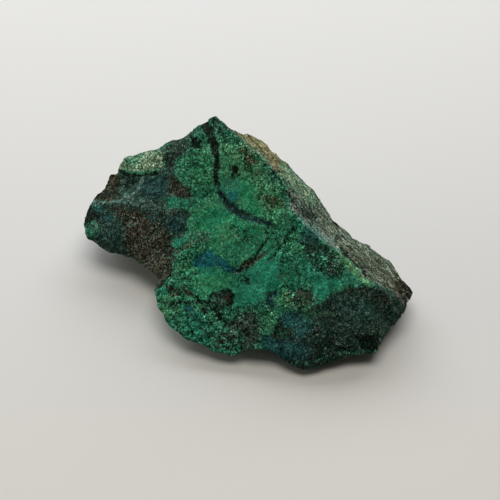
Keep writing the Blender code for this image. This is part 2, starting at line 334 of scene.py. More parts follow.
# Each marking is drawn on the chart: its mineral, how soft its edge is, how strongly it covers what lies
# under it, and its outline. "green" clears a place to the bare green rock.
patches = {
    # the weathered strip behind the crest
    "stripTan": ("tan", 1.5, 1.0, [(228, 126), (236, 134), (240, 137), (250, 147), (262, 158), (272, 168),
        (281, 177), (287, 186), (290, 197), (289, 207), (297, 217), (306, 226), (318, 236), (330, 246),
        (340, 251), (350, 262), (360, 272), (370, 281), (380, 285), (392, 293), (400, 303), (404, 314),
        (418, 300), (420, 288), (405, 272), (390, 252), (365, 236), (345, 226), (330, 208), (315, 186),
        (295, 162), (270, 140), (250, 130), (238, 124)]),
    "stripOchre": ("ochre", 5, 1.0, [(226, 124), (250, 130), (268, 140), (282, 152), (290, 164),
        (284, 174), (274, 168), (262, 158), (250, 147), (238, 135)]),
    "stripRust1": ("rust", 3.5, 0.42, [(258, 150), (266, 150), (276, 158), (285, 170), (281, 176),
        (270, 166)]),
    "stripPale1": ("pale", 5, 0.85, [(280, 160), (292, 170), (306, 186), (320, 202), (312, 206),
        (300, 196), (288, 184), (279, 174)]),
    "stripDark": ("dark", 3.5, 0.5, [(284, 178), (292, 186), (300, 197), (308, 208), (298, 208),
        (290, 198)]),
    "stripMist1": ("paleWashAndSheen", 4, 0.6, [(288, 204), (304, 205), (318, 214), (326, 226), (320, 230),
        (304, 219)]),
    "stripBlack1": ("black", 2.5, 0.6, [(300, 208), (308, 209), (318, 217), (316, 221), (306, 217)]),
    "stripMist2": ("paleWashAndSheen", 5, 0.35, [(318, 226), (332, 232), (342, 244), (334, 246), (324, 238)]),
    "stripBrown1": ("brown", 5, 0.6, [(336, 242), (350, 248), (366, 258), (374, 270), (360, 269),
        (346, 258)]),
    "stripRust2": ("rust", 5, 0.3, [(356, 256), (376, 266), (386, 280), (374, 280), (362, 268)]),
    "stripBrown2": ("brown", 9, 0.5, [(362, 252), (392, 270), (408, 286), (404, 314), (388, 292),
        (368, 270)]),
    "stripBrown3": ("brown", 4, 1.0, [(394, 276), (408, 278), (417, 294), (408, 312), (400, 322),
        (396, 304)]),
    "stripBlack2": ("black", 3, 0.55, [(402, 284), (412, 286), (416, 296), (408, 310), (401, 318)]),
    "stripBlack3": ("black", 1.6, 0.9, [(320, 199), (326, 202), (326, 208), (321, 205)]),
    "stripBlack4": ("black", 1.6, 0.8, [(334, 218), (340, 220), (340, 225), (335, 223)]),
    # the low left lobe, the pale ledge above it and the saddle up to the peak
    "lobeDark": ("dark", 1.8, 1.0, [(86, 200), (92, 194), (97, 188), (104, 186), (104, 176), (112, 172),
        (120, 172), (135, 174), (146, 174), (157, 171), (160, 163), (165, 155), (172, 148), (178, 144),
        (184, 137), (192, 129), (193, 135), (189, 141), (188, 148), (186, 154), (180, 157), (176, 161),
        (174, 167), (174, 173), (178, 179), (184, 186), (188, 190), (191, 196), (186, 199), (176, 197),
        (168, 199), (166, 205), (170, 208), (180, 209), (192, 211), (190, 217), (187, 220), (188, 228),
        (187, 234), (181, 238), (174, 240), (171, 243), (175, 248), (182, 247), (176, 251), (171, 256),
        (168, 262), (170, 269), (172, 274), (166, 279), (160, 283), (152, 288), (144, 290), (136, 272),
        (120, 266), (100, 260), (80, 248), (74, 225), (78, 210)]),
    "lobeBrown1": ("brown", 7, 0.9, [(116, 205), (134, 209), (150, 216), (160, 226), (168, 236),
        (174, 246), (170, 256), (168, 265), (171, 275), (160, 284), (150, 284), (146, 268), (138, 262),
        (128, 258), (124, 246), (126, 235), (122, 224), (114, 213)]),
    "lobeBrown2": ("brown", 5, 0.8, [(166, 178), (178, 181), (188, 191), (190, 198), (178, 198),
        (168, 194)]),
    "lobeBrown3": ("brown", 3, 1.0, [(103, 176), (117, 172), (120, 182), (115, 190), (103, 189)]),
    "lobeBrown4": ("brown", 3, 1.0, [(90, 194), (100, 187), (115, 189), (119, 197), (108, 201),
        (90, 200)]),
    "lobeSlate1": ("slate", 5, 0.75, [(143, 178), (158, 174), (168, 178), (167, 190), (165, 200),
        (150, 200), (140, 197), (139, 189)]),
    "lobeSlate2": ("slate", 6, 0.45, [(92, 203), (107, 206), (118, 216), (124, 234), (120, 246),
        (105, 247), (96, 238), (98, 226), (93, 214)]),
    "lobeMist": ("paleWashAndSheen", 5, 0.6, [(119, 177), (136, 175), (142, 180), (136, 190), (124, 191)]),
    "lobeSteel1": ("steel", 3, 0.5, [(104, 214), (112, 213), (116, 220), (108, 224)]),
    "lobeSlate3": ("slate", 2, 0.65, [(146, 214), (154, 212), (160, 218), (156, 225), (148, 222)]),
    "lobeSlate4": ("slate", 4, 0.8, [(169, 217), (181, 215), (186, 220), (184, 230), (177, 236),
        (170, 232), (167, 225)]),
    "lobeBlack1": ("black", 3, 0.6, [(92, 198), (100, 189), (116, 188), (118, 194), (104, 199)]),
    "lobeBlack2": ("black", 2, 0.5, [(105, 180), (110, 186), (118, 187), (112, 190), (104, 187)]),
    "lobeBlack3": ("black", 3, 0.85, [(78, 212), (87, 204), (95, 208), (98, 216), (94, 222), (80, 224)]),
    "lobeSteel2": ("steel", 2, 0.8, [(92, 202), (101, 203), (105, 208), (98, 212), (92, 208)]),
    "lobeBlack4": ("black", 3, 0.45, [(82, 238), (96, 240), (108, 250), (126, 260), (140, 268),
        (124, 270), (100, 262), (84, 250)]),
    "saddleBlack1": ("black", 2.5, 0.7, [(161, 167), (163, 155), (170, 150), (180, 143), (186, 138),
        (190, 140), (186, 152), (180, 156), (174, 160), (171, 168)]),
    "lobeGreen": ("green", 3, 0.6, [(84, 226), (91, 222), (98, 225), (98, 233), (92, 238), (85, 235)]),
    "ledgePale": ("pale", 1.2, 1.0, [(113, 171), (115, 165), (122, 158), (132, 153), (145, 149),
        (157, 148), (166, 150), (163, 158), (160, 166), (154, 170), (146, 172), (130, 171)]),
    "saddleTan": ("tan", 1.5, 0.5, [(157, 150), (164, 143), (178, 138), (190, 128), (188, 134),
        (179, 143), (168, 149), (162, 151)]),
    "ledgeGreen1": ("green", 3, 0.45, [(113, 171), (120, 168), (134, 168), (148, 170), (158, 168),
        (146, 174), (130, 173)]),
    "ledgeGreen2": ("green", 3, 0.5, [(126, 158), (134, 152), (146, 150), (160, 148), (160, 152),
        (146, 155), (140, 164), (130, 168), (124, 164)]),
    "ledgeDark": ("dark", 3, 0.3, [(130, 158), (140, 156), (142, 164), (132, 168)]),
    "peakDark1": ("dark", 4, 0.45, [(188, 127), (200, 119), (206, 130), (204, 142), (193, 142)]),
    "saddleBlack2": ("black", 3, 0.75, [(174, 150), (184, 137), (194, 129), (199, 132), (192, 140),
        (187, 148), (181, 154)]),
    "peakSlate": ("slate", 3, 0.6, [(190, 140), (198, 134), (204, 140), (202, 148), (194, 150)]),
    "saddleDark1": ("dark", 5, 0.6, [(178, 146), (186, 136), (197, 128), (199, 138), (192, 152),
        (182, 154)]),
    "peakDark2": ("dark", 7, 0.62, [(200, 112), (218, 108), (234, 124), (232, 134), (214, 136),
        (196, 130)]),
    # smooth bright places on the green face
    "middleFaceJade1": ("jade", 12, 0.45, [(190, 206), (230, 196), (262, 206), (284, 226), (300, 262),
        (318, 280), (296, 290), (270, 300), (244, 306), (222, 286), (200, 300), (184, 280), (182, 250)]),
    "upperFaceJade1": ("jade", 6, 0.9, [(195, 212), (222, 206), (240, 219), (262, 228), (258, 246),
        (236, 236), (215, 242), (205, 236), (192, 224)]),
    "upperFaceJade2": ("jade", 6, 0.8, [(238, 180), (252, 178), (258, 200), (264, 214), (256, 218),
        (243, 209), (238, 197)]),
    "upperFaceTeal": ("teal", 6, 0.6, [(220, 178), (240, 176), (240, 192), (236, 204), (226, 196)]),
    "middleFaceJade2": ("jade", 5, 0.9, [(200, 270), (215, 267), (226, 273), (230, 282), (221, 289),
        (210, 297), (202, 298), (198, 284)]),
    "middleFaceTeal1": ("teal", 3.5, 1.0, [(236, 288), (247, 285), (252, 266), (262, 260), (280, 262),
        (283, 280), (275, 288), (267, 292), (262, 300), (252, 303), (240, 307), (234, 299)]),
    "middleFaceMint1": ("mint", 8, 0.8, [(196, 266), (214, 268), (230, 277), (237, 287), (226, 297),
        (206, 301), (190, 293), (184, 276)]),
    "plateMint": ("mint", 6, 0.5, [(158, 288), (176, 294), (186, 304), (182, 322), (166, 322),
        (155, 306)]),
    "middleFaceMint2": ("mint", 6, 0.45, [(178, 254), (196, 243), (226, 245), (240, 256), (226, 262),
        (206, 250), (190, 260)]),
    "crestFootMint1": ("mint", 3, 0.7, [(318, 284), (342, 283), (333, 292), (322, 298)]),
    "crestFootMint2": ("mint", 5, 0.45, [(284, 260), (300, 266), (312, 280), (300, 285), (286, 281)]),
    "upperFaceMint": ("mint", 5, 0.5, [(262, 208), (276, 208), (290, 216), (286, 228), (270, 220)]),
    "middleFaceLime": ("lime", 8, 0.16, [(178, 254), (196, 268), (230, 276), (237, 288), (222, 298),
        (196, 302), (176, 290)]),
    "plateLime1": ("lime", 6, 0.3, [(158, 290), (176, 296), (186, 304), (180, 322), (164, 320),
        (156, 306)]),
    "platePale": ("pale", 5, 0.28, [(160, 296), (174, 302), (178, 316), (166, 316)]),
    "plateLime2": ("lime", 6, 0.3, [(204, 312), (222, 306), (226, 316), (216, 326), (204, 324)]),
    "plateTeal1": ("teal", 3, 0.6, [(160, 318), (171, 320), (178, 333), (168, 333)]),
    "plateTeal2": ("teal", 3, 0.6, [(177, 301), (186, 298), (190, 306), (182, 311)]),
    "plateTeal3": ("teal", 3, 0.5, [(210, 342), (222, 347), (232, 356), (214, 354)]),
    "plateTeal4": ("teal", 3, 0.8, [(188, 320), (206, 322), (212, 332), (208, 343), (196, 340),
        (186, 332)]),
    "crestFootTeal": ("teal", 2.5, 1.0, [(312, 280), (330, 280), (346, 281), (338, 286), (330, 293),
        (320, 299), (314, 297), (315, 288)]),
    "plateTeal5": ("teal", 2, 0.9, [(155, 289), (162, 285), (168, 288), (165, 294), (156, 294)]),
    "middleFaceTeal2": ("teal", 1.6, 1.0, [(172, 241), (178, 240), (184, 236), (190, 234), (188, 240),
        (182, 245), (175, 246)]),
    "upperFaceDark": ("dark", 5, 0.28, [(220, 168), (238, 172), (238, 188), (222, 190)]),
    "middleFaceDark": ("dark", 4, 0.5, [(184, 234), (200, 230), (214, 234), (210, 244), (190, 250),
        (180, 246)]),
    "middleFaceJade3": ("jade", 6, 0.6, [(258, 232), (276, 228), (284, 240), (276, 252), (262, 250)]),
    "upperFaceJade3": ("jade", 7, 0.5, [(196, 160), (210, 156), (212, 190), (202, 200), (192, 186)]),
    "upperFaceLime1": ("lime", 3, 0.35, [(215, 225), (232, 222), (238, 236), (225, 240), (214, 236)]),
    "upperFaceLime2": ("lime", 7, 0.4, [(222, 138), (236, 146), (246, 165), (240, 172), (226, 160)]),
    "upperFaceLime3": ("lime", 6, 0.4, [(246, 156), (262, 162), (280, 182), (286, 196), (270, 192),
        (254, 174)]),
    "upperFaceLime4": ("lime", 4, 0.6, [(262, 200), (284, 200), (286, 210), (268, 212)]),
    "facetLime": ("lime", 2.5, 0.6, [(283, 290), (292, 292), (294, 305), (290, 309), (284, 304),
        (280, 296)]),
    # dark, rusty and blue places on it
    "saddleDark2": ("dark", 3, 0.7, [(158, 147), (170, 138), (184, 131), (195, 125), (200, 130),
        (190, 140), (176, 150), (164, 154)]),
    "saddleBrown": ("brown", 3, 0.45, [(158, 147), (168, 139), (180, 134), (182, 142), (170, 150),
        (162, 153)]),
    "peakBlack": ("black", 1.6, 0.8, [(189, 137), (195, 136), (201, 142), (202, 147), (195, 149),
        (190, 144)]),
    "upperFaceBlack": ("black", 2.4, 0.8, [(229, 167), (235, 164), (240, 168), (238, 176), (232, 178)]),
    "stripPale2": ("pale", 3, 0.4, [(236, 134), (246, 138), (262, 150), (272, 162), (268, 166),
        (254, 156), (242, 144)]),
    "stripRust3": ("rust", 2.5, 0.34, [(257, 145), (267, 149), (276, 160), (272, 163), (262, 155)]),
    "stripRust4": ("rust", 2.0, 0.4, [(268, 160), (276, 163), (281, 170), (276, 171), (270, 166)]),
    "upperFaceRust1": ("rust", 3.5, 0.75, [(240, 148), (246, 150), (253, 156), (259, 162), (250, 164),
        (242, 158)]),
    "upperFaceRust2": ("rust", 3.5, 0.55, [(262, 196), (278, 196), (284, 205), (270, 208)]),
    "upperFaceRust3": ("rust", 4, 0.35, [(252, 164), (264, 166), (268, 178), (258, 180)]),
    "upperFaceBlue1": ("blue", 2.5, 0.7, [(227, 192), (236, 191), (238, 200), (233, 204), (227, 198)]),
    "upperFaceBlue2": ("blue", 4, 0.35, [(217, 203), (226, 204), (232, 212), (222, 213)]),
    "middleFaceBlack1": ("black", 3, 0.45, [(241, 231), (249, 230), (254, 236), (252, 243), (244, 243)]),
    "middleFaceTeal3": ("teal", 3, 0.8, [(196, 266), (208, 262), (220, 268), (218, 274), (204, 274),
        (196, 272)]),
    "middleFaceBlue1": ("blue", 1.8, 1.0, [(191, 260), (195, 255), (204, 252), (213, 252), (220, 257),
        (228, 263), (236, 268), (241, 270), (238, 275), (229, 273), (221, 268), (213, 265), (205, 267),
        (197, 268), (192, 265)]),
    "middleFaceBlack2": ("black", 1.6, 0.7, [(241, 277), (249, 278), (252, 283), (246, 285), (242, 282)]),
    "middleFaceBlue2": ("blue", 1.8, 0.6, [(249, 274), (256, 274), (256, 279), (250, 279)]),
    "plateDark1": ("dark", 3, 0.75, [(211, 300), (214, 294), (224, 290), (232, 293), (233, 302),
        (228, 308), (220, 312), (213, 308)]),
    "plateMist1": ("paleWashAndSheen", 3, 0.45, [(214, 296), (224, 293), (230, 300), (222, 308)]),
    "plateBrown1": ("brown", 2.0, 0.85, [(222, 290), (229, 289), (232, 296), (234, 302), (229, 306),
        (224, 301)]),
    "plateBrown2": ("brown", 1.6, 0.7, [(201, 307), (206, 304), (209, 308), (208, 315), (203, 315)]),
    "plateBrown3": ("brown", 2, 0.8, [(168, 285), (173, 287), (178, 293), (180, 298), (174, 296),
        (168, 290)]),
    "plateBrown4": ("brown", 2, 0.7, [(182, 286), (187, 288), (192, 293), (199, 297), (198, 300),
        (190, 298), (183, 293)]),
    "plateBlue1": ("blue", 2, 0.45, [(191, 289), (197, 289), (199, 294), (193, 296)]),
    "plateBlue2": ("blue", 2.5, 0.7, [(184, 303), (192, 303), (195, 308), (190, 315), (186, 314),
        (184, 308)]),
    "plateDark2": ("dark", 4, 0.95, [(224, 324), (234, 319), (246, 313), (254, 311), (259, 318),
        (261, 330), (261, 342), (255, 349), (244, 351), (236, 341), (231, 332)]),
    "plateBlack1": ("black", 4, 0.4, [(238, 320), (250, 314), (258, 322), (258, 342), (246, 348),
        (238, 338)]),
    "plateMist2": ("paleWashAndSheen", 5, 0.5, [(238, 312), (252, 306), (259, 316), (258, 330), (244, 328)]),
    "plateBrown5": ("brown", 5, 0.35, [(226, 322), (244, 312), (254, 308), (260, 326), (256, 344),
        (242, 346), (234, 334)]),
    "plateTan": ("tan", 4, 0.45, [(224, 330), (236, 328), (244, 338), (238, 347), (226, 344)]),
    "plateBrown6": ("brown", 3, 0.55, [(209, 334), (222, 331), (228, 342), (220, 350), (212, 346)]),
    "plateBlack2": ("black", 3, 0.5, [(216, 332), (228, 331), (240, 337), (248, 345), (240, 352),
        (228, 350), (218, 343)]),
    "facetSlate1": ("slate", 1.8, 1.0, [(268, 293), (275, 288), (277, 291), (273, 300), (275, 308),
        (270, 311), (267, 303)]),
    "crestFootBlack": ("black", 3, 0.4, [(286, 268), (293, 266), (296, 274), (292, 280), (286, 277)]),
    "facetMist1": ("paleWashAndSheen", 4, 0.8, [(292, 290), (303, 287), (313, 291), (316, 302), (309, 311),
        (297, 311), (291, 301)]),
    "facetBlack1": ("black", 4, 0.42, [(294, 291), (306, 289), (312, 298), (306, 308), (296, 306)]),
    "facetBrown1": ("brown", 3, 0.75, [(295, 291), (303, 289), (311, 292), (314, 302), (308, 309),
        (298, 309), (294, 300)]),
    # the dark ground under the low end of the crest
    "crestFootDark": ("dark", 5, 0.8, [(302, 234), (310, 232), (320, 240), (332, 250), (342, 262),
        (350, 275), (340, 277), (326, 276), (314, 266), (306, 256), (303, 244)]),
    "crestFootSlate": ("slate", 4, 0.65, [(300, 230), (308, 228), (316, 234), (320, 242), (311, 244),
        (303, 242)]),
    "crestFootGreen1": ("green", 5, 0.55, [(310, 254), (324, 250), (332, 258), (322, 266), (312, 262)]),
    "crestFootGreen2": ("green", 3, 0.5, [(338, 264), (350, 276), (360, 282), (350, 283), (340, 278)]),
    # the steep facet at the right front
    "facetDark": ("dark", 3, 1.0, [(336, 293), (343, 291), (349, 286), (355, 288), (362, 284), (373, 284),
        (385, 287), (395, 293), (403, 301), (406, 314), (400, 324), (390, 336), (384, 348), (378, 358),
        (340, 366), (305, 376), (288, 370), (276, 362), (264, 352), (261, 342), (266, 337), (275, 330),
        (278, 318), (284, 314), (292, 310), (303, 311), (311, 305), (320, 304), (326, 298)]),
    "facetSlate2": ("slate", 5, 0.95, [(261, 339), (271, 337), (280, 343), (290, 335), (300, 340),
        (313, 346), (311, 357), (298, 362), (285, 361), (270, 354), (261, 348)]),
    "facetSlate3": ("slate", 6, 0.8, [(276, 318), (290, 312), (303, 312), (312, 322), (318, 335),
        (308, 338), (298, 332), (284, 326)]),
    "facetTeal1": ("teal", 5, 0.3, [(300, 312), (310, 307), (322, 306), (326, 314), (314, 322),
        (304, 320)]),
    "facetSteel1": ("steel", 5, 0.9, [(281, 315), (292, 312), (302, 314), (309, 322), (308, 332),
        (298, 338), (292, 332), (284, 325)]),
    "facetBlue": ("blue", 5, 0.3, [(280, 316), (292, 313), (302, 318), (298, 327), (286, 326)]),
    "facetSteel2": ("steel", 4, 1.0, [(262, 338), (272, 337), (281, 344), (278, 353), (264, 351)]),
    "facetSteel3": ("steel", 4, 0.5, [(284, 342), (298, 342), (306, 350), (298, 357), (286, 354)]),
    "facetBlack2": ("black", 4, 0.55, [(275, 328), (283, 325), (291, 329), (292, 338), (284, 342),
        (275, 338)]),
    "facetRust": ("rust", 3, 0.3, [(276, 330), (288, 328), (290, 336), (282, 340)]),
    "facetBrown2": ("brown", 4, 0.4, [(344, 289), (360, 287), (376, 290), (378, 298), (362, 301),
        (346, 299)]),
    "facetTeal2": ("teal", 5, 0.22, [(298, 314), (312, 314), (314, 325), (302, 328)]),
    "facetSteel4": ("steel", 8, 0.45, [(334, 300), (352, 294), (368, 299), (376, 308), (372, 318),
        (352, 319), (338, 316)]),
    "facetMist2": ("paleWashAndSheen", 8, 0.45, [(322, 302), (350, 292), (376, 298), (384, 312), (360, 324),
        (328, 316)]),
    "facetBrown3": ("brown", 4, 0.38, [(338, 294), (350, 288), (366, 287), (370, 292), (356, 296),
        (344, 300)]),
    "facetBrown4": ("brown", 4, 0.45, [(376, 290), (388, 291), (394, 304), (386, 312), (378, 305)]),
    "facetSlate4": ("slate", 5, 0.45, [(312, 322), (334, 318), (346, 326), (336, 334), (316, 334)]),
    "facetBlack3": ("black", 4, 0.35, [(384, 306), (396, 304), (404, 316), (396, 330), (386, 326)]),
    "facetSteel5": ("steel", 5, 0.35, [(362, 300), (374, 304), (376, 318), (364, 320)]),
    "facetMist3": ("paleWashAndSheen", 5, 0.4, [(300, 340), (320, 336), (350, 334), (352, 346), (326, 354),
        (304, 352)]),
    "facetBlack4": ("black", 3, 1.0, [(354, 337), (366, 334), (378, 336), (381, 349), (370, 353),
        (360, 348)]),
    "facetBlack5": ("black", 3, 0.5, [(334, 346), (348, 342), (356, 350), (344, 356)]),
    "facetBlack6": ("black", 4, 0.45, [(313, 340), (324, 337), (334, 338), (336, 348), (320, 352)]),
    # painted shade under the front lip and along the facet's lower edge
    "frontLipShade": ("black", 2.5, 0.75, [(262, 352), (270, 357), (282, 366), (290, 370), (286, 372),
        (270, 362), (260, 355)]),
    "facetFootShade": ("black", 2.5, 0.18, [(284, 366), (300, 363), (326, 360), (344, 356), (346, 362),
        (310, 374), (290, 373)]),
    "facetBrown5": ("brown", 3, 0.5, [(380, 288), (390, 292), (396, 304), (390, 306), (382, 298)]),
}

# drawn lines, as points with half-widths
streaks = {
    # the black seam and the blue arc below the peak
    "peakBlack": ("black", 1.6, 1.0, [(203, 118, 3.6), (206, 126, 4.6), (209, 134, 4.6), (212, 142, 4.0),
        (214, 148, 3.6)]),
    "upperFaceBlack1": ("black", 1.6, 0.95, [(212, 143, 3.2), (216, 155, 3.8), (217, 165, 3.6),
        (217, 175, 2.8), (218, 184, 3.0), (221, 192, 2.6)]),
    "upperFaceSlate": ("slate", 2.0, 1.0, [(220, 188, 2.4), (224, 199, 3.6), (230, 206, 4.6),
        (238, 212, 4.6), (250, 219, 3.8), (262, 222, 2.8), (274, 224, 1.2)]),
    "upperFaceBlack2": ("black", 2.2, 0.62, [(221, 192, 2.0), (228, 203, 2.6), (236, 210, 3.0),
        (247, 217, 2.6), (258, 221, 1.6)]),
    # dark and rusty cracks on the green face
    "middleFaceBrown1": ("brown", 2.4, 0.85, [(236, 273, 1.8), (241, 269, 3.4), (246, 265, 4.4),
        (252, 261, 4.4), (258, 258, 3.6), (265, 254, 2.0), (270, 252, 0.8)]),
    "middleFaceBlack1": ("black", 2.2, 0.55, [(226, 266, 0.8), (233, 270, 2.0), (240, 270, 2.6),
        (244, 267, 1.4)]),
    "middleFaceBlack2": ("black", 1.8, 0.85, [(238, 271, 1.8), (243, 267, 2.2), (250, 261, 2.2),
        (258, 257, 1.6)]),
    "plateBlack1": ("black", 1.4, 0.8, [(209, 302, 1.4), (212, 295, 1.8), (219, 291, 2.0),
        (227, 290, 2.0), (232, 295, 1.8), (233, 302, 1.8), (228, 306, 1.6)]),
    "plateBlack2": ("black", 1.4, 0.75, [(212, 306, 1.6), (217, 310, 1.8), (219, 315, 1.4)]),
    "middleFaceBlack3": ("black", 1.2, 0.5, [(227, 257, 0.8), (234, 256, 1.2), (240, 258, 0.8)]),
    "middleFaceBlack4": ("black", 1.6, 0.75, [(268, 225, 1.4), (267, 233, 1.6), (266, 242, 1.8),
        (262, 247, 1.2), (258, 252, 1.8), (256, 255, 1.4)]),
    "middleFaceBrown2": ("brown", 1.0, 0.9, [(202, 239, 0.9), (193, 241, 1.3), (187, 246, 1.4),
        (180, 250, 1.5), (174, 255, 1.2)]),
    "lobeBrown": ("brown", 1.8, 0.9, [(176, 254, 1.6), (169, 262, 2.0), (170, 272, 2.4), (162, 283, 2.2),
        (152, 291, 1.6)]),
    "lobeBlack": ("black", 1.6, 0.8, [(171, 264, 1.2), (170, 274, 1.6), (160, 286, 1.4),
        (150, 292, 1.4)]),
    "middleFaceRust": ("rust", 1.6, 0.7, [(200, 239, 0.8), (190, 243, 1.4), (180, 248, 1.4),
        (172, 256, 1.0)]),
    "middleFaceBlack5": ("black", 0.9, 0.6, [(200, 240, 0.4), (195, 244, 0.6), (191, 247, 0.5)]),
    "plateBlack3": ("black", 1.0, 0.6, [(187, 316, 1.2), (189, 326, 1.0), (192, 335, 2.0)]),
    "plateBlack4": ("black", 1.0, 0.7, [(207, 334, 1.8), (208, 337, 1.6)]),
    "crestFootDark1": ("dark", 1.4, 0.8, [(284, 258, 0.8), (281, 266, 1.4), (281, 274, 1.6),
        (285, 281, 1.4), (293, 286, 0.8)]),
    "crestFootDark2": ("dark", 1.4, 0.8, [(291, 260, 0.8), (296, 268, 1.4), (299, 276, 1.4),
        (299, 284, 0.8)]),
    "crestFootBlack1": ("black", 1.2, 0.9, [(301, 222, 0.8), (293, 228, 1.4), (287, 235, 1.4),
        (283, 243, 1.0)]),
    "stripBlack": ("black", 1.2, 0.3, [(262, 140, 0.8), (268, 148, 1.2), (274, 158, 1.0)]),
    "upperFaceDark1": ("dark", 1.6, 0.75, [(258, 206, 0.8), (268, 203, 1.4), (282, 206, 1.2),
        (292, 204, 0.8)]),
    "upperFaceDark2": ("dark", 1.6, 0.7, [(222, 226, 0.8), (232, 230, 1.2), (242, 237, 1.0)]),
    "middleFaceBlack6": ("black", 1.2, 0.7, [(274, 236, 0.8), (280, 246, 1.2), (276, 256, 1.2),
        (268, 262, 0.8)]),
    "plateBrown1": ("brown", 2.0, 0.6, [(160, 300, 0.8), (168, 304, 1.4), (176, 303, 1.0)]),
    "plateBrown2": ("brown", 2.0, 0.6, [(214, 330, 1.0), (222, 336, 1.8), (226, 344, 1.4)]),
    "plateBrown3": ("brown", 1.6, 0.9, [(167, 287, 1.2), (172, 292, 2.0), (178, 295, 1.6)]),
    "plateRust": ("rust", 1.6, 0.8, [(181, 286, 1.6), (186, 291, 2.2), (192, 296, 1.8)]),
    "plateBlack5": ("black", 1.4, 0.85, [(190, 295, 1.2), (198, 299, 1.6), (206, 303, 1.2),
        (213, 309, 1.6), (220, 317, 1.8), (226, 323, 1.4)]),
    "upperFaceBlack3": ("black", 0.9, 0.7, [(226, 228, 0.3), (234, 228, 0.8), (243, 232, 0.8),
        (250, 238, 0.4)]),
    "upperFaceBlack4": ("black", 0.9, 0.6, [(262, 214, 0.4), (270, 212, 0.8), (279, 208, 0.7),
        (288, 210, 0.4)]),
    "upperFaceBlack5": ("black", 0.9, 0.55, [(206, 196, 0.4), (204, 206, 0.7), (196, 212, 0.7),
        (190, 222, 0.4)]),
    "plateDark1": ("dark", 1.4, 0.8, [(160, 298, 0.8), (172, 304, 1.2), (184, 302, 1.4),
        (196, 306, 1.2)]),
    "plateDark2": ("dark", 1.6, 0.75, [(196, 318, 1.0), (204, 326, 1.4), (204, 336, 1.2),
        (196, 342, 1.0)]),
    "crestFootTeal": ("teal", 1.2, 1.0, [(300, 261, 1.6), (306, 268, 2.2), (311, 276, 2.4),
        (318, 282, 2.4)]),
    # a yellow-green line along the ridge at the crest's low end, partly a painted highlight
    "crestFootLimeAndHighlight": ("lime", 1.2, 1.0, [(338, 250, 1.6), (346, 262, 2.6), (354, 271, 2.4),
        (362, 278, 2.4), (370, 285, 1.8)]),
    "crestFootBlack2": ("black", 1.4, 0.8, [(340, 247, 1.2), (349, 256, 2.4), (360, 267, 2.2),
        (371, 277, 1.2)]),
    # pale veins and scuffs on the lobe with painted highlights along its ridges, and painted shade under the
    # ledge
    "lobeVeinAndSheen1": ("paleWashAndSheen", 2.2, 0.9, [(88, 201, 1.2), (104, 203, 2.0), (116, 203, 2.4), (128, 200, 3.4),
        (140, 202, 3.4), (152, 205, 2.4), (168, 207, 1.4)]),
    "lobeVeinAndSheen2": ("paleWashAndSheen", 2.0, 0.85, [(144, 175, 1.2), (140, 184, 2.2), (135, 192, 2.6),
        (126, 198, 2.4)]),
    "lobeScuffAndHighlight1": ("paleLineAndHighlight", 1.2, 0.55, [(89, 200, 0.6), (98, 202, 0.9), (106, 202, 0.6)]),
    "lobeScuffAndHighlight2": ("paleLineAndHighlight", 1.2, 0.6, [(143, 178, 0.5), (139, 187, 0.9), (133, 194, 0.9), (122, 199, 0.9),
        (112, 201, 0.5)]),
    "lobeScuffAndHighlight3": ("paleLineAndHighlight", 1.2, 0.5, [(118, 203, 0.5), (132, 202, 0.9), (146, 203, 0.7),
        (158, 206, 0.4)]),
    "ledgeDark1": ("dark", 1.2, 0.6, [(118, 164, 0.5), (127, 159, 1.0), (136, 158, 0.7),
        (142, 161, 0.5)]),
    "ledgeDark2": ("dark", 1.2, 0.6, [(132, 168, 0.5), (141, 164, 0.9), (150, 163, 0.8),
        (156, 158, 0.5)]),
    "ledgeBlack": ("black", 1.4, 1.0, [(114, 172, 1.4), (128, 174, 1.5), (142, 175, 1.5),
        (157, 172, 1.0)]),
    "lobeTeal": ("teal", 2.5, 0.8, [(168, 199, 2.2), (176, 201, 2.6), (186, 205, 2.6)]),
    # painted highlights and dark lines along the crest, painted sheen and dark lines on the facet, and
    # painted shade along the plate's lower edge
    "crestHighlight": ("paleLineAndHighlight", 1.4, 0.8, [(262, 160, 0.6), (276, 176, 0.9), (286, 190, 1.2),
        (289, 204, 1.0), (296, 214, 1.4), (304, 221, 1.8)]),
    "crestFootHighlight": ("paleLineAndHighlight", 1.6, 0.8, [(303, 221, 1.6), (309, 226, 2.8), (316, 231, 2.8),
        (324, 238, 2.0), (334, 245, 1.2), (341, 252, 0.8)]),
    "upperFaceBlack6": ("black", 1.0, 0.7, [(268, 166, 0.6), (280, 180, 1.0), (291, 198, 1.2),
        (298, 208, 1.0)]),
    "facetEdgeHighlight": ("paleLineAndHighlight", 1.4, 0.5, [(372, 286, 0.8), (384, 292, 1.4), (393, 302, 1.4),
        (398, 314, 1.2)]),
    # painted shade along the plate's lower edge, where it comes down to the table
    "plateFootShade": ("black", 1.2, 0.65, [(166, 321, 0.6), (184, 338, 1.2), (200, 347, 1.4),
        (216, 353, 1.4), (232, 356, 1.4), (246, 351, 1.0)]),
    "facetGreen": ("green", 1.2, 0.75, [(286, 366, 0.8), (300, 364, 1.0), (316, 361, 1.2),
        (332, 357, 1.0), (352, 352, 1.2), (374, 351, 0.8)]),
    "facetSheen1": ("paleLineAndHighlight", 1.0, 0.5, [(326, 318, 0.3), (338, 324, 0.6), (352, 326, 0.6),
        (368, 332, 0.3)]),
    "facetSheen2": ("paleLineAndHighlight", 1.0, 0.45, [(352, 300, 0.3), (362, 308, 0.6), (370, 320, 0.5)]),
    "facetBlack": ("black", 1.2, 0.6, [(320, 336, 0.6), (334, 333, 1.2), (350, 334, 1.0),
        (362, 332, 0.6)]),
}

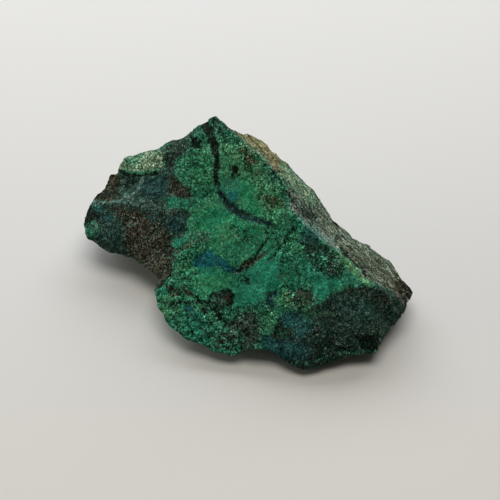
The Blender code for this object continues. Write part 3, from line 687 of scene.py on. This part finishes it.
# how rough and speckled the surface is: the edge's softness, the value inside and the outline
roughPatches = {
    "upperFace1": (8, 0.75, [(196, 118), (216, 114), (232, 128), (262, 158), (285, 180), (292, 205),
        (272, 206), (256, 200), (250, 176), (240, 160), (228, 150), (216, 140)]),
    "upperFace2": (6, 0.45, [(250, 164), (266, 164), (282, 184), (288, 200), (272, 200), (258, 186)]),
    "upperFace3": (8, 0.52, [(184, 150), (206, 140), (214, 165), (214, 195), (205, 215), (192, 212),
        (188, 190), (176, 172)]),
    "crestFoot1": (8, 0.55, [(262, 200), (300, 212), (310, 232), (304, 262), (286, 262), (268, 240)]),
    "plate1": (8, 0.55, [(150, 288), (172, 284), (200, 296), (232, 300), (262, 298), (280, 312),
        (272, 335), (258, 352), (232, 358), (200, 348), (176, 334), (156, 312)]),
    "middleFace1": (6, 0.65, [(168, 262), (190, 246), (204, 238), (210, 250), (194, 268), (198, 284),
        (186, 290), (168, 286)]),
    "plate2": (4, 0.3, [(236, 320), (250, 314), (259, 324), (258, 344), (244, 346), (236, 336)]),
    "facet1": (6, 0.75, [(280, 286), (296, 288), (314, 300), (302, 312), (284, 312)]),
    "crestFoot2": (6, 0.75, [(304, 246), (338, 252), (345, 276), (314, 274)]),
    "facet2": (6, 0.8, [(300, 350), (378, 334), (382, 352), (320, 364), (290, 370)]),
    "saddle": (5, 0.8, [(160, 168), (163, 154), (190, 134), (192, 150), (174, 164)]),
    "upperFace4": (6, 0.2, [(205, 206), (225, 202), (250, 216), (262, 222), (262, 238), (240, 236),
        (215, 240), (200, 228)]),
    "upperFace5": (6, 0.15, [(222, 178), (240, 176), (252, 186), (260, 205), (262, 218), (244, 210),
        (232, 200)]),
    "middleFace2": (5, 0.15, [(200, 268), (215, 266), (228, 275), (230, 284), (221, 290), (208, 292),
        (200, 282)]),
    "middleFace3": (5, 0.12, [(236, 290), (247, 285), (252, 266), (262, 258), (280, 262), (284, 280),
        (272, 290), (262, 300), (252, 303), (240, 305)]),
    "crestFoot3": (5, 0.15, [(312, 280), (345, 281), (332, 292), (320, 299), (314, 297)]),
    "facet3": (6, 0.15, [(330, 296), (360, 290), (372, 300), (376, 316), (350, 322), (332, 314)]),
    "facet4": (6, 0.2, [(262, 340), (300, 338), (312, 346), (308, 360), (285, 361), (266, 350)]),
    "lobe": (6, 0.15, [(119, 176), (136, 175), (142, 178), (137, 187), (128, 190), (120, 187)]),
    "ledge": (4, 0.4, [(113, 171), (120, 158), (157, 148), (164, 150), (158, 170), (130, 172)]),
}
# how far the bare green leans to leaf green
warmPatches = {
    "upperFace1": (10, 0.95, [(192, 208), (214, 196), (240, 186), (270, 186), (288, 204), (280, 226),
        (262, 232), (232, 244), (206, 250), (188, 240)]),
    "upperFace2": (8, 0.9, [(196, 150), (214, 140), (240, 140), (262, 166), (252, 184), (220, 180),
        (200, 176)]),
    "middleFace": (8, 0.4, [(190, 266), (214, 268), (230, 280), (222, 294), (204, 304), (180, 304),
        (172, 280)]),
    "crestFoot1": (10, 0.05, [(240, 262), (284, 252), (312, 262), (346, 282), (318, 304), (288, 292),
        (262, 304), (236, 300)]),
    "plate1": (8, 0.1, [(164, 316), (196, 310), (222, 326), (246, 352), (226, 362), (190, 346),
        (168, 332)]),
    "crestFoot2": (6, 0.1, [(284, 196), (296, 204), (330, 240), (312, 246), (292, 226)]),
    "plate2": (6, 0.9, [(152, 290), (168, 290), (176, 306), (168, 318), (156, 310)]),
}
# fine pale scratches and fibres, which on the facet are a painted sheen, thicker where the value is higher
fibreAndSheenPatches = {
    "lobe1": (6, 0.75, [(86, 196), (120, 196), (146, 174), (170, 176), (186, 194), (186, 236), (160, 232),
        (130, 212), (88, 212)]),
    "lobe2": (5, 0.5, [(84, 214), (120, 210), (150, 236), (172, 266), (150, 284), (110, 262), (84, 246)]),
    "facet": (6, 0.6, [(270, 330), (300, 306), (360, 288), (396, 304), (380, 352), (300, 370),
        (264, 354)]),
    "ledge": (5, 0.8, [(116, 160), (140, 152), (164, 150), (166, 166), (130, 170)]),
    "strip": (5, 0.7, [(290, 196), (330, 236), (372, 284), (408, 306), (414, 280), (340, 226),
        (300, 186)]),
    "crestFoot": (6, 0.55, [(262, 200), (300, 208), (330, 246), (350, 274), (320, 278), (290, 262),
        (268, 236)]),
    "plate": (6, 0.5, [(224, 310), (262, 304), (262, 344), (236, 344)]),
}
# small pale grains, partly painted glints, thicker where the value is higher
fleckAndGlintPatches = {
    "lobe1": (6, 0.8, [(122, 206), (160, 216), (174, 245), (166, 280), (150, 284), (126, 252)]),
    "lobe2": (5, 0.3, [(90, 190), (120, 176), (116, 200), (94, 200)]),
    "lobe3": (6, 0.55, [(90, 202), (140, 200), (186, 178), (190, 200), (180, 225), (160, 216), (124, 222),
        (104, 246), (86, 236)]),
    "plate1": (5, 0.9, [(216, 330), (236, 328), (252, 344), (240, 354), (220, 350)]),
    "plate2": (5, 0.25, [(222, 306), (262, 300), (264, 340), (236, 340)]),
    "facet": (8, 0.6, [(284, 316), (330, 306), (384, 316), (378, 345), (310, 360), (280, 350)]),
    "saddle": (5, 0.75, [(158, 152), (190, 134), (186, 152), (166, 164)]),
    "ledge": (5, 0.35, [(116, 164), (150, 152), (158, 160), (140, 170)]),
    "peak": (6, 0.4, [(200, 118), (214, 118), (222, 160), (214, 190), (206, 160)]),
}
# bare is the value where no such patch lies; patches that build up only raise it, and the others set it
covers = {
    "rough": {"bare": 0.28, "patches": roughPatches, "buildsUp": False},
    "flecksAndGlints": {"bare": 0.12, "patches": fleckAndGlintPatches, "buildsUp": True},
    "warm": {"bare": 0.45, "patches": warmPatches, "buildsUp": False},
    "fibresAndSheen": {"bare": 0.1, "patches": fibreAndSheenPatches, "buildsUp": True},
}
blackHides = {"flecksAndGlints": 0.6, "fibresAndSheen": 0.6}  # the share of them that black rock hides

# The hidden sides are weathered tan rock under coats of other minerals. A noise has its size in
# millimetres, its shift and its octaves. A coat with a lean above 0 gathers on faces that look up.
hiddenRock = {
    "base": ("tan", 0.9),
    "coats": {
        "ochre": {"share": 0.5, "noise": (7, 41, 3), "lean": 0.4, "edge": (0.1, 0.5)},
        "dark": {"share": 0.9, "noise": (16, 31, 3), "lean": -0.2, "edge": (-0.1, 0.35)},
        "brown": {"share": 0.8, "noise": (7, 41, 3), "lean": -0.3, "edge": (0.0, 0.4)},
        "green": {"share": 0.9, "noise": (12, 51, 3), "lean": 0.0, "edge": (0.16, 0.42)},
        "teal": {"share": 0.6, "noise": (9, 61, 2), "lean": 0.0, "edge": (0.34, 0.5)},
        "black": {"share": 0.5, "noise": (8, 71, 2), "lean": 0.0, "edge": (0.36, 0.5)},
    },
    "covers": {
        "rough": {"least": 0.3, "gain": 0.3, "noise": (7, 41, 3)},
        "flecksAndGlints": {"least": 0.1, "gain": 0.35, "noise": (16, 31, 3)},
        "warm": {"least": 0.5, "gain": 0.0, "noise": (7, 41, 3)},
        "fibresAndSheen": {"least": 0.0, "gain": 0.3, "noise": (7, 41, 3)},
    },
    "coverEdge": (-0.2, 0.4),
    "starts": (1.5 * mm, 6 * mm),  # how far round from the seen side it starts and has taken over
}
farAway = 1e9
# a shift counts skew times along y; each octave is finer by step, and weaker the higher fade is
lumpKit = {"skew": 1.7, "fade": 0.9, "step": 2.0}


def alongSegment(u, v, start, end):
    # how far along from start to end each place lies, from 0 to 1, and its distance from there
    (ax, ay), (bx, by) = start, end
    dx, dy = bx - ax, by - ay
    along = np.clip(((u - ax) * dx + (v - ay) * dy) / (dx * dx + dy * dy), 0, 1)
    return along, np.hypot(u - ax - along * dx, v - ay - along * dy)


def insidePatch(u, v, outline):
    # signed distance in steps, positive inside
    points = np.array(outline, float)
    nearest = np.full(len(u), farAway)
    inside = np.zeros(len(u), bool)
    for (ax, ay), (bx, by) in zip(points, np.roll(points, -1, axis=0)):
        nearest = np.minimum(nearest, alongSegment(u, v, (ax, ay), (bx, by))[1])
        if ay != by:
            inside ^= ((ay > v) != (by > v)) & (u < ax + (bx - ax) * (v - ay) / (by - ay))
    return np.where(inside, nearest, -nearest)


def insideStreak(u, v, path):
    best = np.full(len(u), -farAway)
    for (ax, ay, aw), (bx, by, bw) in zip(path, path[1:]):
        along, away = alongSegment(u, v, (ax, ay), (bx, by))
        best = np.maximum(best, aw + (bw - aw) * along - away)
    return best


def field(places, size, shift, octaves=1):
    # noise at each point, from -1 to 1, with lumps as wide as size in millimetres
    offset = Vector((shift, shift * lumpKit["skew"], -shift))
    scale = 1 / (size * mm)
    if octaves == 1:
        return np.array([noise.noise(p * scale + offset) for p in places])
    fade, step = lumpKit["fade"], lumpKit["step"]
    return np.array([noise.fractal(p * scale + offset, fade, step, octaves) for p in places])


def layPaint(weights, kind, share):
    # only what would cover the new paint is taken away; for "green", which is no layer, that is all paint
    layer = kinds.index(kind) if kind in kinds else -1
    for other in kinds[layer + 1:]:
        weights[other] *= 1 - share
    if kind in kinds:
        weights[kind] = np.maximum(weights[kind], share)


def coverAt(u, v, kit):
    cover = np.full(len(u), kit["bare"])
    for soft, value, outline in kit["patches"].values():
        share = smoothStep(-soft, soft, insidePatch(u, v, outline))
        if kit["buildsUp"]:
            cover = np.maximum(cover, value * share)
        else:
            cover = cover * (1 - share) + value * share
    return cover


def paintFront(places):
    u, v = chartOf(places)
    for kit in borderWander.values():
        across, down = kit["shifts"]
        u = u + kit["reach"] * field(places, kit["size"], across)
        v = v + kit["reach"] * field(places, kit["size"], down)
    weights = {kind: np.zeros(len(places)) for kind in kinds}
    for kind, soft, strength, outline in patches.values():
        layPaint(weights, kind, strength * smoothStep(-soft, soft, insidePatch(u, v, outline)))
    for kind, soft, strength, path in streaks.values():
        layPaint(weights, kind, strength * smoothStep(-soft, soft, insideStreak(u, v, path)))
    for name, kit in covers.items():
        weights[name] = coverAt(u, v, kit) * (1 - blackHides.get(name, 0) * weights["black"])
    return weights


def paintBack(places, normals):
    up = normals[:, 2]
    weights = {kind: np.zeros(len(places)) for kind in kinds}
    layPaint(weights, *hiddenRock["base"])
    for kind, kit in hiddenRock["coats"].items():
        height = field(places, *kit["noise"]) + kit["lean"] * up
        layPaint(weights, kind, kit["share"] * smoothStep(*kit["edge"], height))
    for name, kit in hiddenRock["covers"].items():
        share = smoothStep(*hiddenRock["coverEdge"], field(places, *kit["noise"]))
        weights[name] = kit["least"] + kit["gain"] * share
    return weights


def paintStone(bm):
    places = [v.co.copy() for v in bm.verts]
    normals = np.array([v.normal for v in bm.verts])
    seen = seenFrom(bm)
    front = paintFront(places)
    back = paintBack(places, normals)
    tree = KDTree(int(seen.sum()))
    for i in np.flatnonzero(seen):
        tree.insert(places[i], int(i))
    tree.balance()
    # a hidden point takes the paint of the nearest seen one, until the hidden rock takes over
    source = np.arange(len(places))
    distance = np.zeros(len(places))
    for i in np.flatnonzero(~seen):
        _, source[i], distance[i] = tree.find(places[i])
    behind = smoothStep(*hiddenRock["starts"], distance)
    return {name: front[name][source] * (1 - behind) + back[name] * behind for name in front}


# relief finer than the solid's; a noise has its size in millimetres, its shift and its octaves
relief = {
    "grain": {"height": 0.12 * mm, "noise": (0.9, 81, 2)},
    "lumps": {"height": 0.19 * mm, "noise": (2.0, 91, 3)},
    "swell": {"height": 0.36 * mm, "noise": (5.0, 95, 2)},
    "pits": {"depth": 0.30 * mm, "noise": (1.6, 97, 2), "edge": (0.2, 0.5)},
    "beds": {"height": 0.16 * mm, "thickness": 1.5 * mm, "noise": (7, 101), "waver": 1.1, "lumpWaver": 0.35,
             "along": Vector((0.69, -0.59, -0.41)).normalized(),
             "across": Vector((0.53, 0.60, -0.60)).normalized()},
    "chips": {"height": 0.34 * mm, "size": 3.6 * mm, "level": 0.3, "least": 0.2},
    "veinDepth": 0.35 * mm,
    "brownDepth": 0.28 * mm,
    "tanHard": 0.25,  # how far tan rock counts as hard
    "tanSofter": 0.5,  # and how far it softens other rock under it
    "hardShare": 0.3,  # how much hard rock adds to the roughness and to the beds
    "leastRough": 0.1,
}


def carve(bm, weights):
    places = [v.co.copy() for v in bm.verts]
    normals = [v.normal.copy() for v in bm.verts]
    grain, lumps, swell, pits, beds, chips = (
        relief[name] for name in ("grain", "lumps", "swell", "pits", "beds", "chips"))
    lumpNoise = field(places, *lumps["noise"])
    hard = weights["dark"] + weights["brown"] + relief["tanHard"] * weights["tan"]
    hard = np.clip(hard, 0, 1) * (1 - relief["tanSofter"] * weights["tan"])
    rough = np.clip(weights["rough"] + relief["hardShare"] * hard, relief["leastRough"], 1)
    height = grain["height"] * field(places, *grain["noise"]) * rough
    height += lumps["height"] * lumpNoise * rough
    height += swell["height"] * field(places, *swell["noise"])
    height -= relief["veinDepth"] * weights["black"] + relief["brownDepth"] * weights["brown"]
    height -= pits["depth"] * smoothStep(*pits["edge"], field(places, *pits["noise"])) * rough
    # beds come out as fine ledges on the weathered strip and the broken back
    across = np.array([p.dot(beds["across"]) for p in places]) / beds["thickness"]
    across = across + beds["waver"] * field(places, *beds["noise"]) + beds["lumpWaver"] * lumpNoise
    bedded = np.clip(weights["tan"] + weights["ochre"] + relief["hardShare"] * hard, 0, 1)
    height += beds["height"] * (0.5 - across % 1) * bedded
    # shallow flakes broken off the hard dark rock
    flakes = np.array([noise.voronoi(p / chips["size"])[0][:2] for p in places])
    chipped = np.clip(hard, chips["least"], 1)
    height += chips["height"] * (flakes[:, 1] - flakes[:, 0] - chips["level"]) * chipped
    height *= smoothStep(0, form["restFade"], np.array([p.z for p in places]))
    for vert, place, normal, lift in zip(bm.verts, places, normals, height):
        vert.co = place + normal * float(lift)
        if place.z > form["restHeight"]:
            vert.co.z = max(vert.co.z, form["restHeight"])
    print("relief carved on", len(places), "points")


# Noises of the finish: size in millimetres, detail, roughness, a shift that keeps them apart, and the
# range that is spread from 0 to 1.
grains = {
    "push": {"size": 2.6, "detail": 2, "rough": 0.5},
    "grain": {"size": 0.34, "detail": 0, "rough": 0.5, "range": (0.35, 0.65)},
    "body": {"size": 1.7, "detail": 5, "rough": 0.80, "range": (0.3, 0.7)},
    "crumb": {"size": 1.0, "detail": 4, "rough": 0.72, "shift": 23, "range": (0.3, 0.7)},
    "drift": {"size": 5.5, "detail": 3, "rough": 0.55, "range": (0.3, 0.7)},
    "streak": {"size": 1.1, "detail": 5, "rough": 0.72, "range": (0.3, 0.7)},
    "patchy": {"size": 3.0, "detail": 2, "rough": 0.5, "shift": 61, "range": (0.35, 0.65)},
    "hue": {"size": 7.0, "detail": 3, "rough": 0.6, "shift": 71, "range": (0.38, 0.62)},
    "salt": {"size": 0.7, "detail": 2, "rough": 0.6, "shift": 31},
    "flecksAndGlints": {"size": 0.40, "detail": 1, "rough": 0.6, "shift": 47},
    "crack": {"size": 2.6, "detail": 3, "rough": 0.6, "shift": 5},
    "threads": {"size": 1.1, "detail": 2, "rough": 0.6, "shift": 55},
    "fibresAndSheen": {"size": 0.42, "detail": 2, "rough": 0.6},
}
finish = {
    "warpReach": 1.5,
    "shiftSkew": 0.7,
    "cells": {"size": 0.38, "share": 0.6, "contrast": 1.25},
    # how much of the single grains shows in each kind of tone, and its contrast
    "tones": {"even": (0.40, 1.5), "lined": (0.30, 2.1), "strong": (0.42, 2.0), "gritty": (0.48, 2.2),
              "lively": (0.46, 1.9), "bold": (0.42, 2.7)},
    "driftShare": 0.15,
    "patchyRough": (1.3, 0.8, 0.5),  # contrast of the even tone: gain and start in patches, and its least
    "streakStretch": 9.0,
    # ragged specks: the noise's edge where they are sparse and where they are thick
    "specks": {"pepper": (1.0, 0.62), "salt": (0.74, 0.56), "flecksAndGlints": (0.76, 0.54), "fibresAndSheen": (0.82, 0.62)},
    "speckFade": 0.05,
    "crackWidth": 0.036,
    "crackGain": 1.8,
    "threadWidth": 0.05,
    "threadGain": 0.9,
    "density": (1.3, 0.4),  # how drifts thicken pepper, salt and cracks: gain and start
    "fleckAndGlintDensity": (1.1, 0.25),
    "hueGain": 0.5,
    "fibreAndSheenShift": 90,
    "fibreAndSheenStretch": 7.0,
    "fibreAndSheenRuns": ((Vector((1.0, 0.18, 0.0)), Vector((-0.18, 1.0, 0.0))),
                  (Vector((0.55, 0.83, 0.0)), Vector((-0.83, 0.55, 0.0)))),
    "saltOver": "lime",  # the last mineral that salt lies on
    "salt": {"share": 0.45, "colour": (0.130, 0.330, 0.200)},
    # laid over all minerals in this order
    "overlays": {
        "crack": {"share": 0.9, "colour": (0.008, 0.026, 0.016)},
        "threads": {"share": 0.65, "colour": (0.008, 0.026, 0.016)},
        "pepper": {"share": 0.62, "colour": (0.008, 0.026, 0.016)},
        # pale fibres, on the facet a painted sheen
        "fibresAndSheen": {"share": 0.52, "colour": (0.150, 0.250, 0.215)},
        # pale flecks, partly painted glints
        "flecksAndGlints": {"share": 0.75, "colour": (0.360, 0.420, 0.330)},
    },
    # single crystals, the lighter ones partly painted glints: how far and how abruptly they turn lighter or
    # darker, and their least brightness
    "crystalsAndGlints": {"lighter": 1.9, "lighterPower": 3, "darker": -1.15, "darkerPower": 2, "base": 0.35,
                 "least": 0.15},
    "bump": {"height": 0.30 * mm, "strength": 0.9, "base": 0.25},
    "bumpOf": {"grain": 0.25, "body": 0.65, "pepper": -0.4, "crack": -0.5},
    "bareRoughness": 0.7,
    "specular": 0.04,
    "borderGate": 6,  # a share under one part in this many fades out
}


def newGroup(name, result, **takes):
    # a group with one result; a socket takes a colour if its first value is a tuple
    tree = bpy.data.node_groups.new(name, "ShaderNodeTree")
    for socketName, value in takes.items():
        kind = "NodeSocketColor" if isinstance(value, tuple) else "NodeSocketFloat"
        tree.interface.new_socket(socketName, in_out="INPUT", socket_type=kind).default_value = value
    kind = "NodeSocketColor" if result == "Colour" else "NodeSocketFloat"
    tree.interface.new_socket(result, in_out="OUTPUT", socket_type=kind)
    start, end = tree.nodes.new("NodeGroupInput"), tree.nodes.new("NodeGroupOutput")
    return tree, start.outputs, end.inputs[result]


def useGroup(tree, group, **values):
    node = addNode(tree, "ShaderNodeGroup", node_tree=group)
    for name, value in values.items():
        plug(tree, node.inputs[name], value)
    return node.outputs[0]


def mineralGroup():
    # three shades of one mineral, spread by its grain
    none = (0, 0, 0, 1)
    tree, takes, colour = newGroup("mineralShades", "Colour", Deep=none, Middle=none, Light=none, Grain=0.5)
    lower = times(tree, takes["Grain"], 2, clamp=True)
    upper = minus(tree, times(tree, takes["Grain"], 2), 1, clamp=True)
    dull = mixNode(tree, "RGBA", lower, takes["Deep"], takes["Middle"])
    plug(tree, colour, mixNode(tree, "RGBA", upper, dull, takes["Light"]))
    return tree


def borderGroup():
    # a painted share turned into a broken, grainy border
    tree, takes, mask = newGroup("brokenBorder", "Mask", Share=0, Grain=0.5, Break=1, Soft=0.2)
    shake = times(tree, minus(tree, takes["Grain"], 0.5), takes["Break"])
    moved = plus(tree, takes["Share"], shake)
    inside = ramp(tree, moved, minus(tree, 0.5, takes["Soft"]), plus(tree, 0.5, takes["Soft"]))
    # where nothing is painted nothing shows, however the grain falls
    gate = times(tree, takes["Share"], finish["borderGate"], clamp=True)
    plug(tree, mask, times(tree, inside, gate))
    return tree


def speckGroup():
    # ragged specks cut out of a noise, thicker where Density is higher
    tree, takes, mask = newGroup("looseSpecks", "Mask", Noise=0.5, Density=0.3, Sparse=0.8, Thick=0.5)
    edge = addNode(tree, "ShaderNodeMapRange", Value=takes["Density"], To_Min=takes["Sparse"],
                   To_Max=takes["Thick"]).outputs["Result"]
    plug(tree, mask, ramp(tree, takes["Noise"], edge, plus(tree, edge, finish["speckFade"])))
    return tree


def crackGroup():
    # thin wandering lines where a noise passes its middle
    tree, takes, mask = newGroup("hairCracks", "Mask", Noise=0.5, Width=0.04)
    away = mathNode(tree, "ABSOLUTE", minus(tree, takes["Noise"], 0.5))
    plug(tree, mask, ramp(tree, away, takes["Width"], 0))
    return tree


def vectorNode(tree, operation, first, second, result="Vector"):
    node = addNode(tree, "ShaderNodeVectorMath", operation=operation)
    plug(tree, node.inputs[0], first)
    plug(tree, node.inputs[1], second)
    return node.outputs[result]


def shiftPlace(tree, place, shift):
    return vectorNode(tree, "ADD", place, (shift, shift * finish["shiftSkew"], -shift))


def noiseNode(tree, place, name):
    kit = grains[name]
    if "shift" in kit:
        place = shiftPlace(tree, place, kit["shift"])
    node = addNode(tree, "ShaderNodeTexNoise", Vector=place, Scale=1 / kit["size"], Detail=kit["detail"],
                   Roughness=kit["rough"])
    if "range" in kit:
        return ramp(tree, node.outputs["Fac"], *kit["range"], style="LINEAR")
    return node.outputs["Fac"]


def drawnOut(tree, place, along, across, stretch):
    # places drawn out along one direction, so that noise on them makes fine parallel streaks
    parts = {"X": along / stretch, "Y": across, "Z": along.cross(across)}
    parts = {axis: vectorNode(tree, "DOT_PRODUCT", place, line, "Value") for axis, line in parts.items()}
    return addNode(tree, "ShaderNodeCombineXYZ", **parts).outputs["Vector"]


def blend(tree, first, second, share, contrast):
    both = plus(tree, times(tree, first, 1 - share), times(tree, second, share))
    return plus(tree, times(tree, minus(tree, both, 0.5), contrast), 0.5, clamp=True)


def thicken(tree, value, drift, gain, start):
    # value, more of it where the drift is high
    return times(tree, value, plus(tree, times(tree, drift, gain), start))


def stoneMaterial():
    material = bpy.data.materials.new("chrysocollaRock")
    material.use_nodes = True
    tree = material.node_tree
    shader = tree.nodes["Principled BSDF"]
    coords = tree.nodes.new("ShaderNodeTexCoord")
    place = addNode(tree, "ShaderNodeMapping", Vector=coords.outputs["Object"],
                    Scale=(1 / mm,) * 3).outputs["Vector"]  # millimetres from here on

    def read(name):
        return addNode(tree, "ShaderNodeAttribute", attribute_name=name).outputs["Fac"]

    # places pushed about a little, so that the noises on them turn wormy and uneven
    push = addNode(tree, "ShaderNodeTexNoise", Vector=place, Scale=1 / grains["push"]["size"],
                   Detail=grains["push"]["detail"], Roughness=grains["push"]["rough"])
    pushed = addNode(tree, "ShaderNodeVectorMath", operation="MULTIPLY_ADD")
    for socket, value in zip(pushed.inputs, (push.outputs["Color"], (finish["warpReach"],) * 3, place)):
        plug(tree, socket, value)
    worm = pushed.outputs["Vector"]
    cells = addNode(tree, "ShaderNodeTexVoronoi", Vector=place, Scale=1 / finish["cells"]["size"])
    cellTone = addNode(tree, "ShaderNodeSeparateColor", Color=cells.outputs["Color"]).outputs
    grain = blend(tree, noiseNode(tree, place, "grain"), cellTone[0], finish["cells"]["share"],
                  finish["cells"]["contrast"])
    body = noiseNode(tree, worm, "body")
    crumb = noiseNode(tree, worm, "crumb")
    drift = noiseNode(tree, place, "drift")
    beds = drawnOut(tree, place, relief["beds"]["along"], relief["beds"]["across"], finish["streakStretch"])
    streak = noiseNode(tree, beds, "streak")
    rough = read("rough")
    gain, start, base = finish["patchyRough"]
    roughContrast = plus(tree, thicken(tree, rough, noiseNode(tree, place, "patchy"), gain, start), base)
    tones = {name: blend(tree, streak if name == "lined" else body, grain, *kit)
             for name, kit in finish["tones"].items()}
    tones["even"] = blend(tree, tones["even"], drift, finish["driftShare"], roughContrast)
    shades, border, specks, cracks = mineralGroup(), borderGroup(), speckGroup(), crackGroup()

    def mineral(kind):
        kit = minerals[kind]
        return useGroup(tree, shades, Deep=kit["deep"], Middle=kit["middle"], Light=kit["light"],
                        Grain=tones[kit["tone"]])

    def speckMask(name, value, density):
        sparse, thick = finish["specks"][name]
        return useGroup(tree, specks, Noise=value, Density=density, Sparse=sparse, Thick=thick)

    # pale salt and dark pepper lie on the green crust, and the pepper is thickest on its rough parts
    density = thicken(tree, rough, drift, *finish["density"])
    salt = speckMask("salt", noiseNode(tree, worm, "salt"), density)
    crack = useGroup(tree, cracks, Noise=noiseNode(tree, worm, "crack"), Width=finish["crackWidth"])
    threads = useGroup(tree, cracks, Noise=noiseNode(tree, worm, "threads"), Width=finish["threadWidth"])
    # streaks of pale fibres, which on the facet are a painted sheen
    runs = [drawnOut(tree, shiftPlace(tree, worm, finish["fibreAndSheenShift"]), *run, finish["fibreAndSheenStretch"])
            for run in finish["fibreAndSheenRuns"]]
    fibreAndSheenNoise = mathNode(tree, "MAXIMUM", *[noiseNode(tree, run, "fibresAndSheen") for run in runs])
    masks = {
        "crack": times(tree, crack, times(tree, density, finish["crackGain"]), clamp=True),
        "threads": times(tree, threads, times(tree, rough, finish["threadGain"]), clamp=True),
        "pepper": speckMask("pepper", crumb, density),
        "fibresAndSheen": speckMask("fibresAndSheen", fibreAndSheenNoise, read("fibresAndSheen")),
        # pale flecks, partly painted glints
        "flecksAndGlints": speckMask("flecksAndGlints", noiseNode(tree, place, "flecksAndGlints"),
                            thicken(tree, read("flecksAndGlints"), drift, *finish["fleckAndGlintDensity"])),
    }

    hue = times(tree, minus(tree, noiseNode(tree, place, "hue"), 0.5), finish["hueGain"])
    hue = plus(tree, read("warm"), hue, clamp=True)
    colour = mixNode(tree, "RGBA", hue, *[mineral(kind) for kind in bareGreens])
    roughness = finish["bareRoughness"]
    for kind in kinds:
        kit = minerals[kind]
        mask = useGroup(tree, border, Share=read(kind), Grain=crumb, Break=kit["scatter"], Soft=kit["fade"])
        colour = mixNode(tree, "RGBA", mask, colour, mineral(kind))
        roughness = mixNode(tree, "FLOAT", mask, roughness, kit["roughness"])
        if kind == finish["saltOver"]:
            share = times(tree, salt, finish["salt"]["share"])
            colour = mixNode(tree, "RGBA", share, colour, finish["salt"]["colour"])
    for name, kit in finish["overlays"].items():
        share = times(tree, masks[name], kit["share"])
        colour = mixNode(tree, "RGBA", share, colour, kit["colour"])

    # single crystals stand out lighter or darker than the rest, the lighter ones partly as painted glints
    kit = finish["crystalsAndGlints"]
    lift = times(tree, minus(tree, cellTone[1], 0.5), 2)
    lighter = mathNode(tree, "POWER", mathNode(tree, "MAXIMUM", lift, 0), kit["lighterPower"])
    darker = mathNode(tree, "POWER", mathNode(tree, "MINIMUM", lift, 0), kit["darkerPower"])
    lift = plus(tree, times(tree, lighter, kit["lighter"]), times(tree, darker, kit["darker"]))
    lift = times(tree, lift, plus(tree, rough, kit["base"]))
    lift = mathNode(tree, "MAXIMUM", plus(tree, lift, 1), kit["least"])
    crystalAndGlint = addNode(tree, "ShaderNodeHueSaturation", Value=lift, Color=colour)
    plug(tree, shader.inputs["Base Color"], crystalAndGlint.outputs["Color"])
    plug(tree, shader.inputs["Roughness"], roughness)
    shader.inputs["Specular IOR Level"].default_value = finish["specular"]

    raised = {"grain": grain, "body": body, "pepper": masks["pepper"], "crack": masks["crack"]}
    height = 0
    for name, weight in finish["bumpOf"].items():
        height = plus(tree, height, times(tree, raised[name], weight))
    height = times(tree, height, plus(tree, rough, finish["bump"]["base"]))
    bump = addNode(tree, "ShaderNodeBump", Strength=finish["bump"]["strength"],
                   Distance=finish["bump"]["height"], Height=height)
    plug(tree, shader.inputs["Normal"], bump.outputs["Normal"])
    return material


def addStone():
    bm = stoneBlank()
    print("stone blank:", len(bm.faces), "triangles")
    weights = paintStone(bm)
    print("markings laid")
    carve(bm, weights)
    mesh = bpy.data.meshes.new("chrysocollaRock")
    bm.to_mesh(mesh)
    bm.free()
    for name, values in weights.items():
        layer = mesh.attributes.new(name, "FLOAT", "POINT")
        layer.data.foreach_set("value", values.astype(np.float32))
    mesh.shade_smooth()
    stone = bpy.data.objects.new("chrysocollaRock", mesh)
    bpy.context.collection.objects.link(stone)
    mesh.materials.append(stoneMaterial())
    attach(stone, "root")
    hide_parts(form["node"])


addCamera()
addTable()
addLights()
print("camera, table and lights are in")
addStone()
print("stone finished")
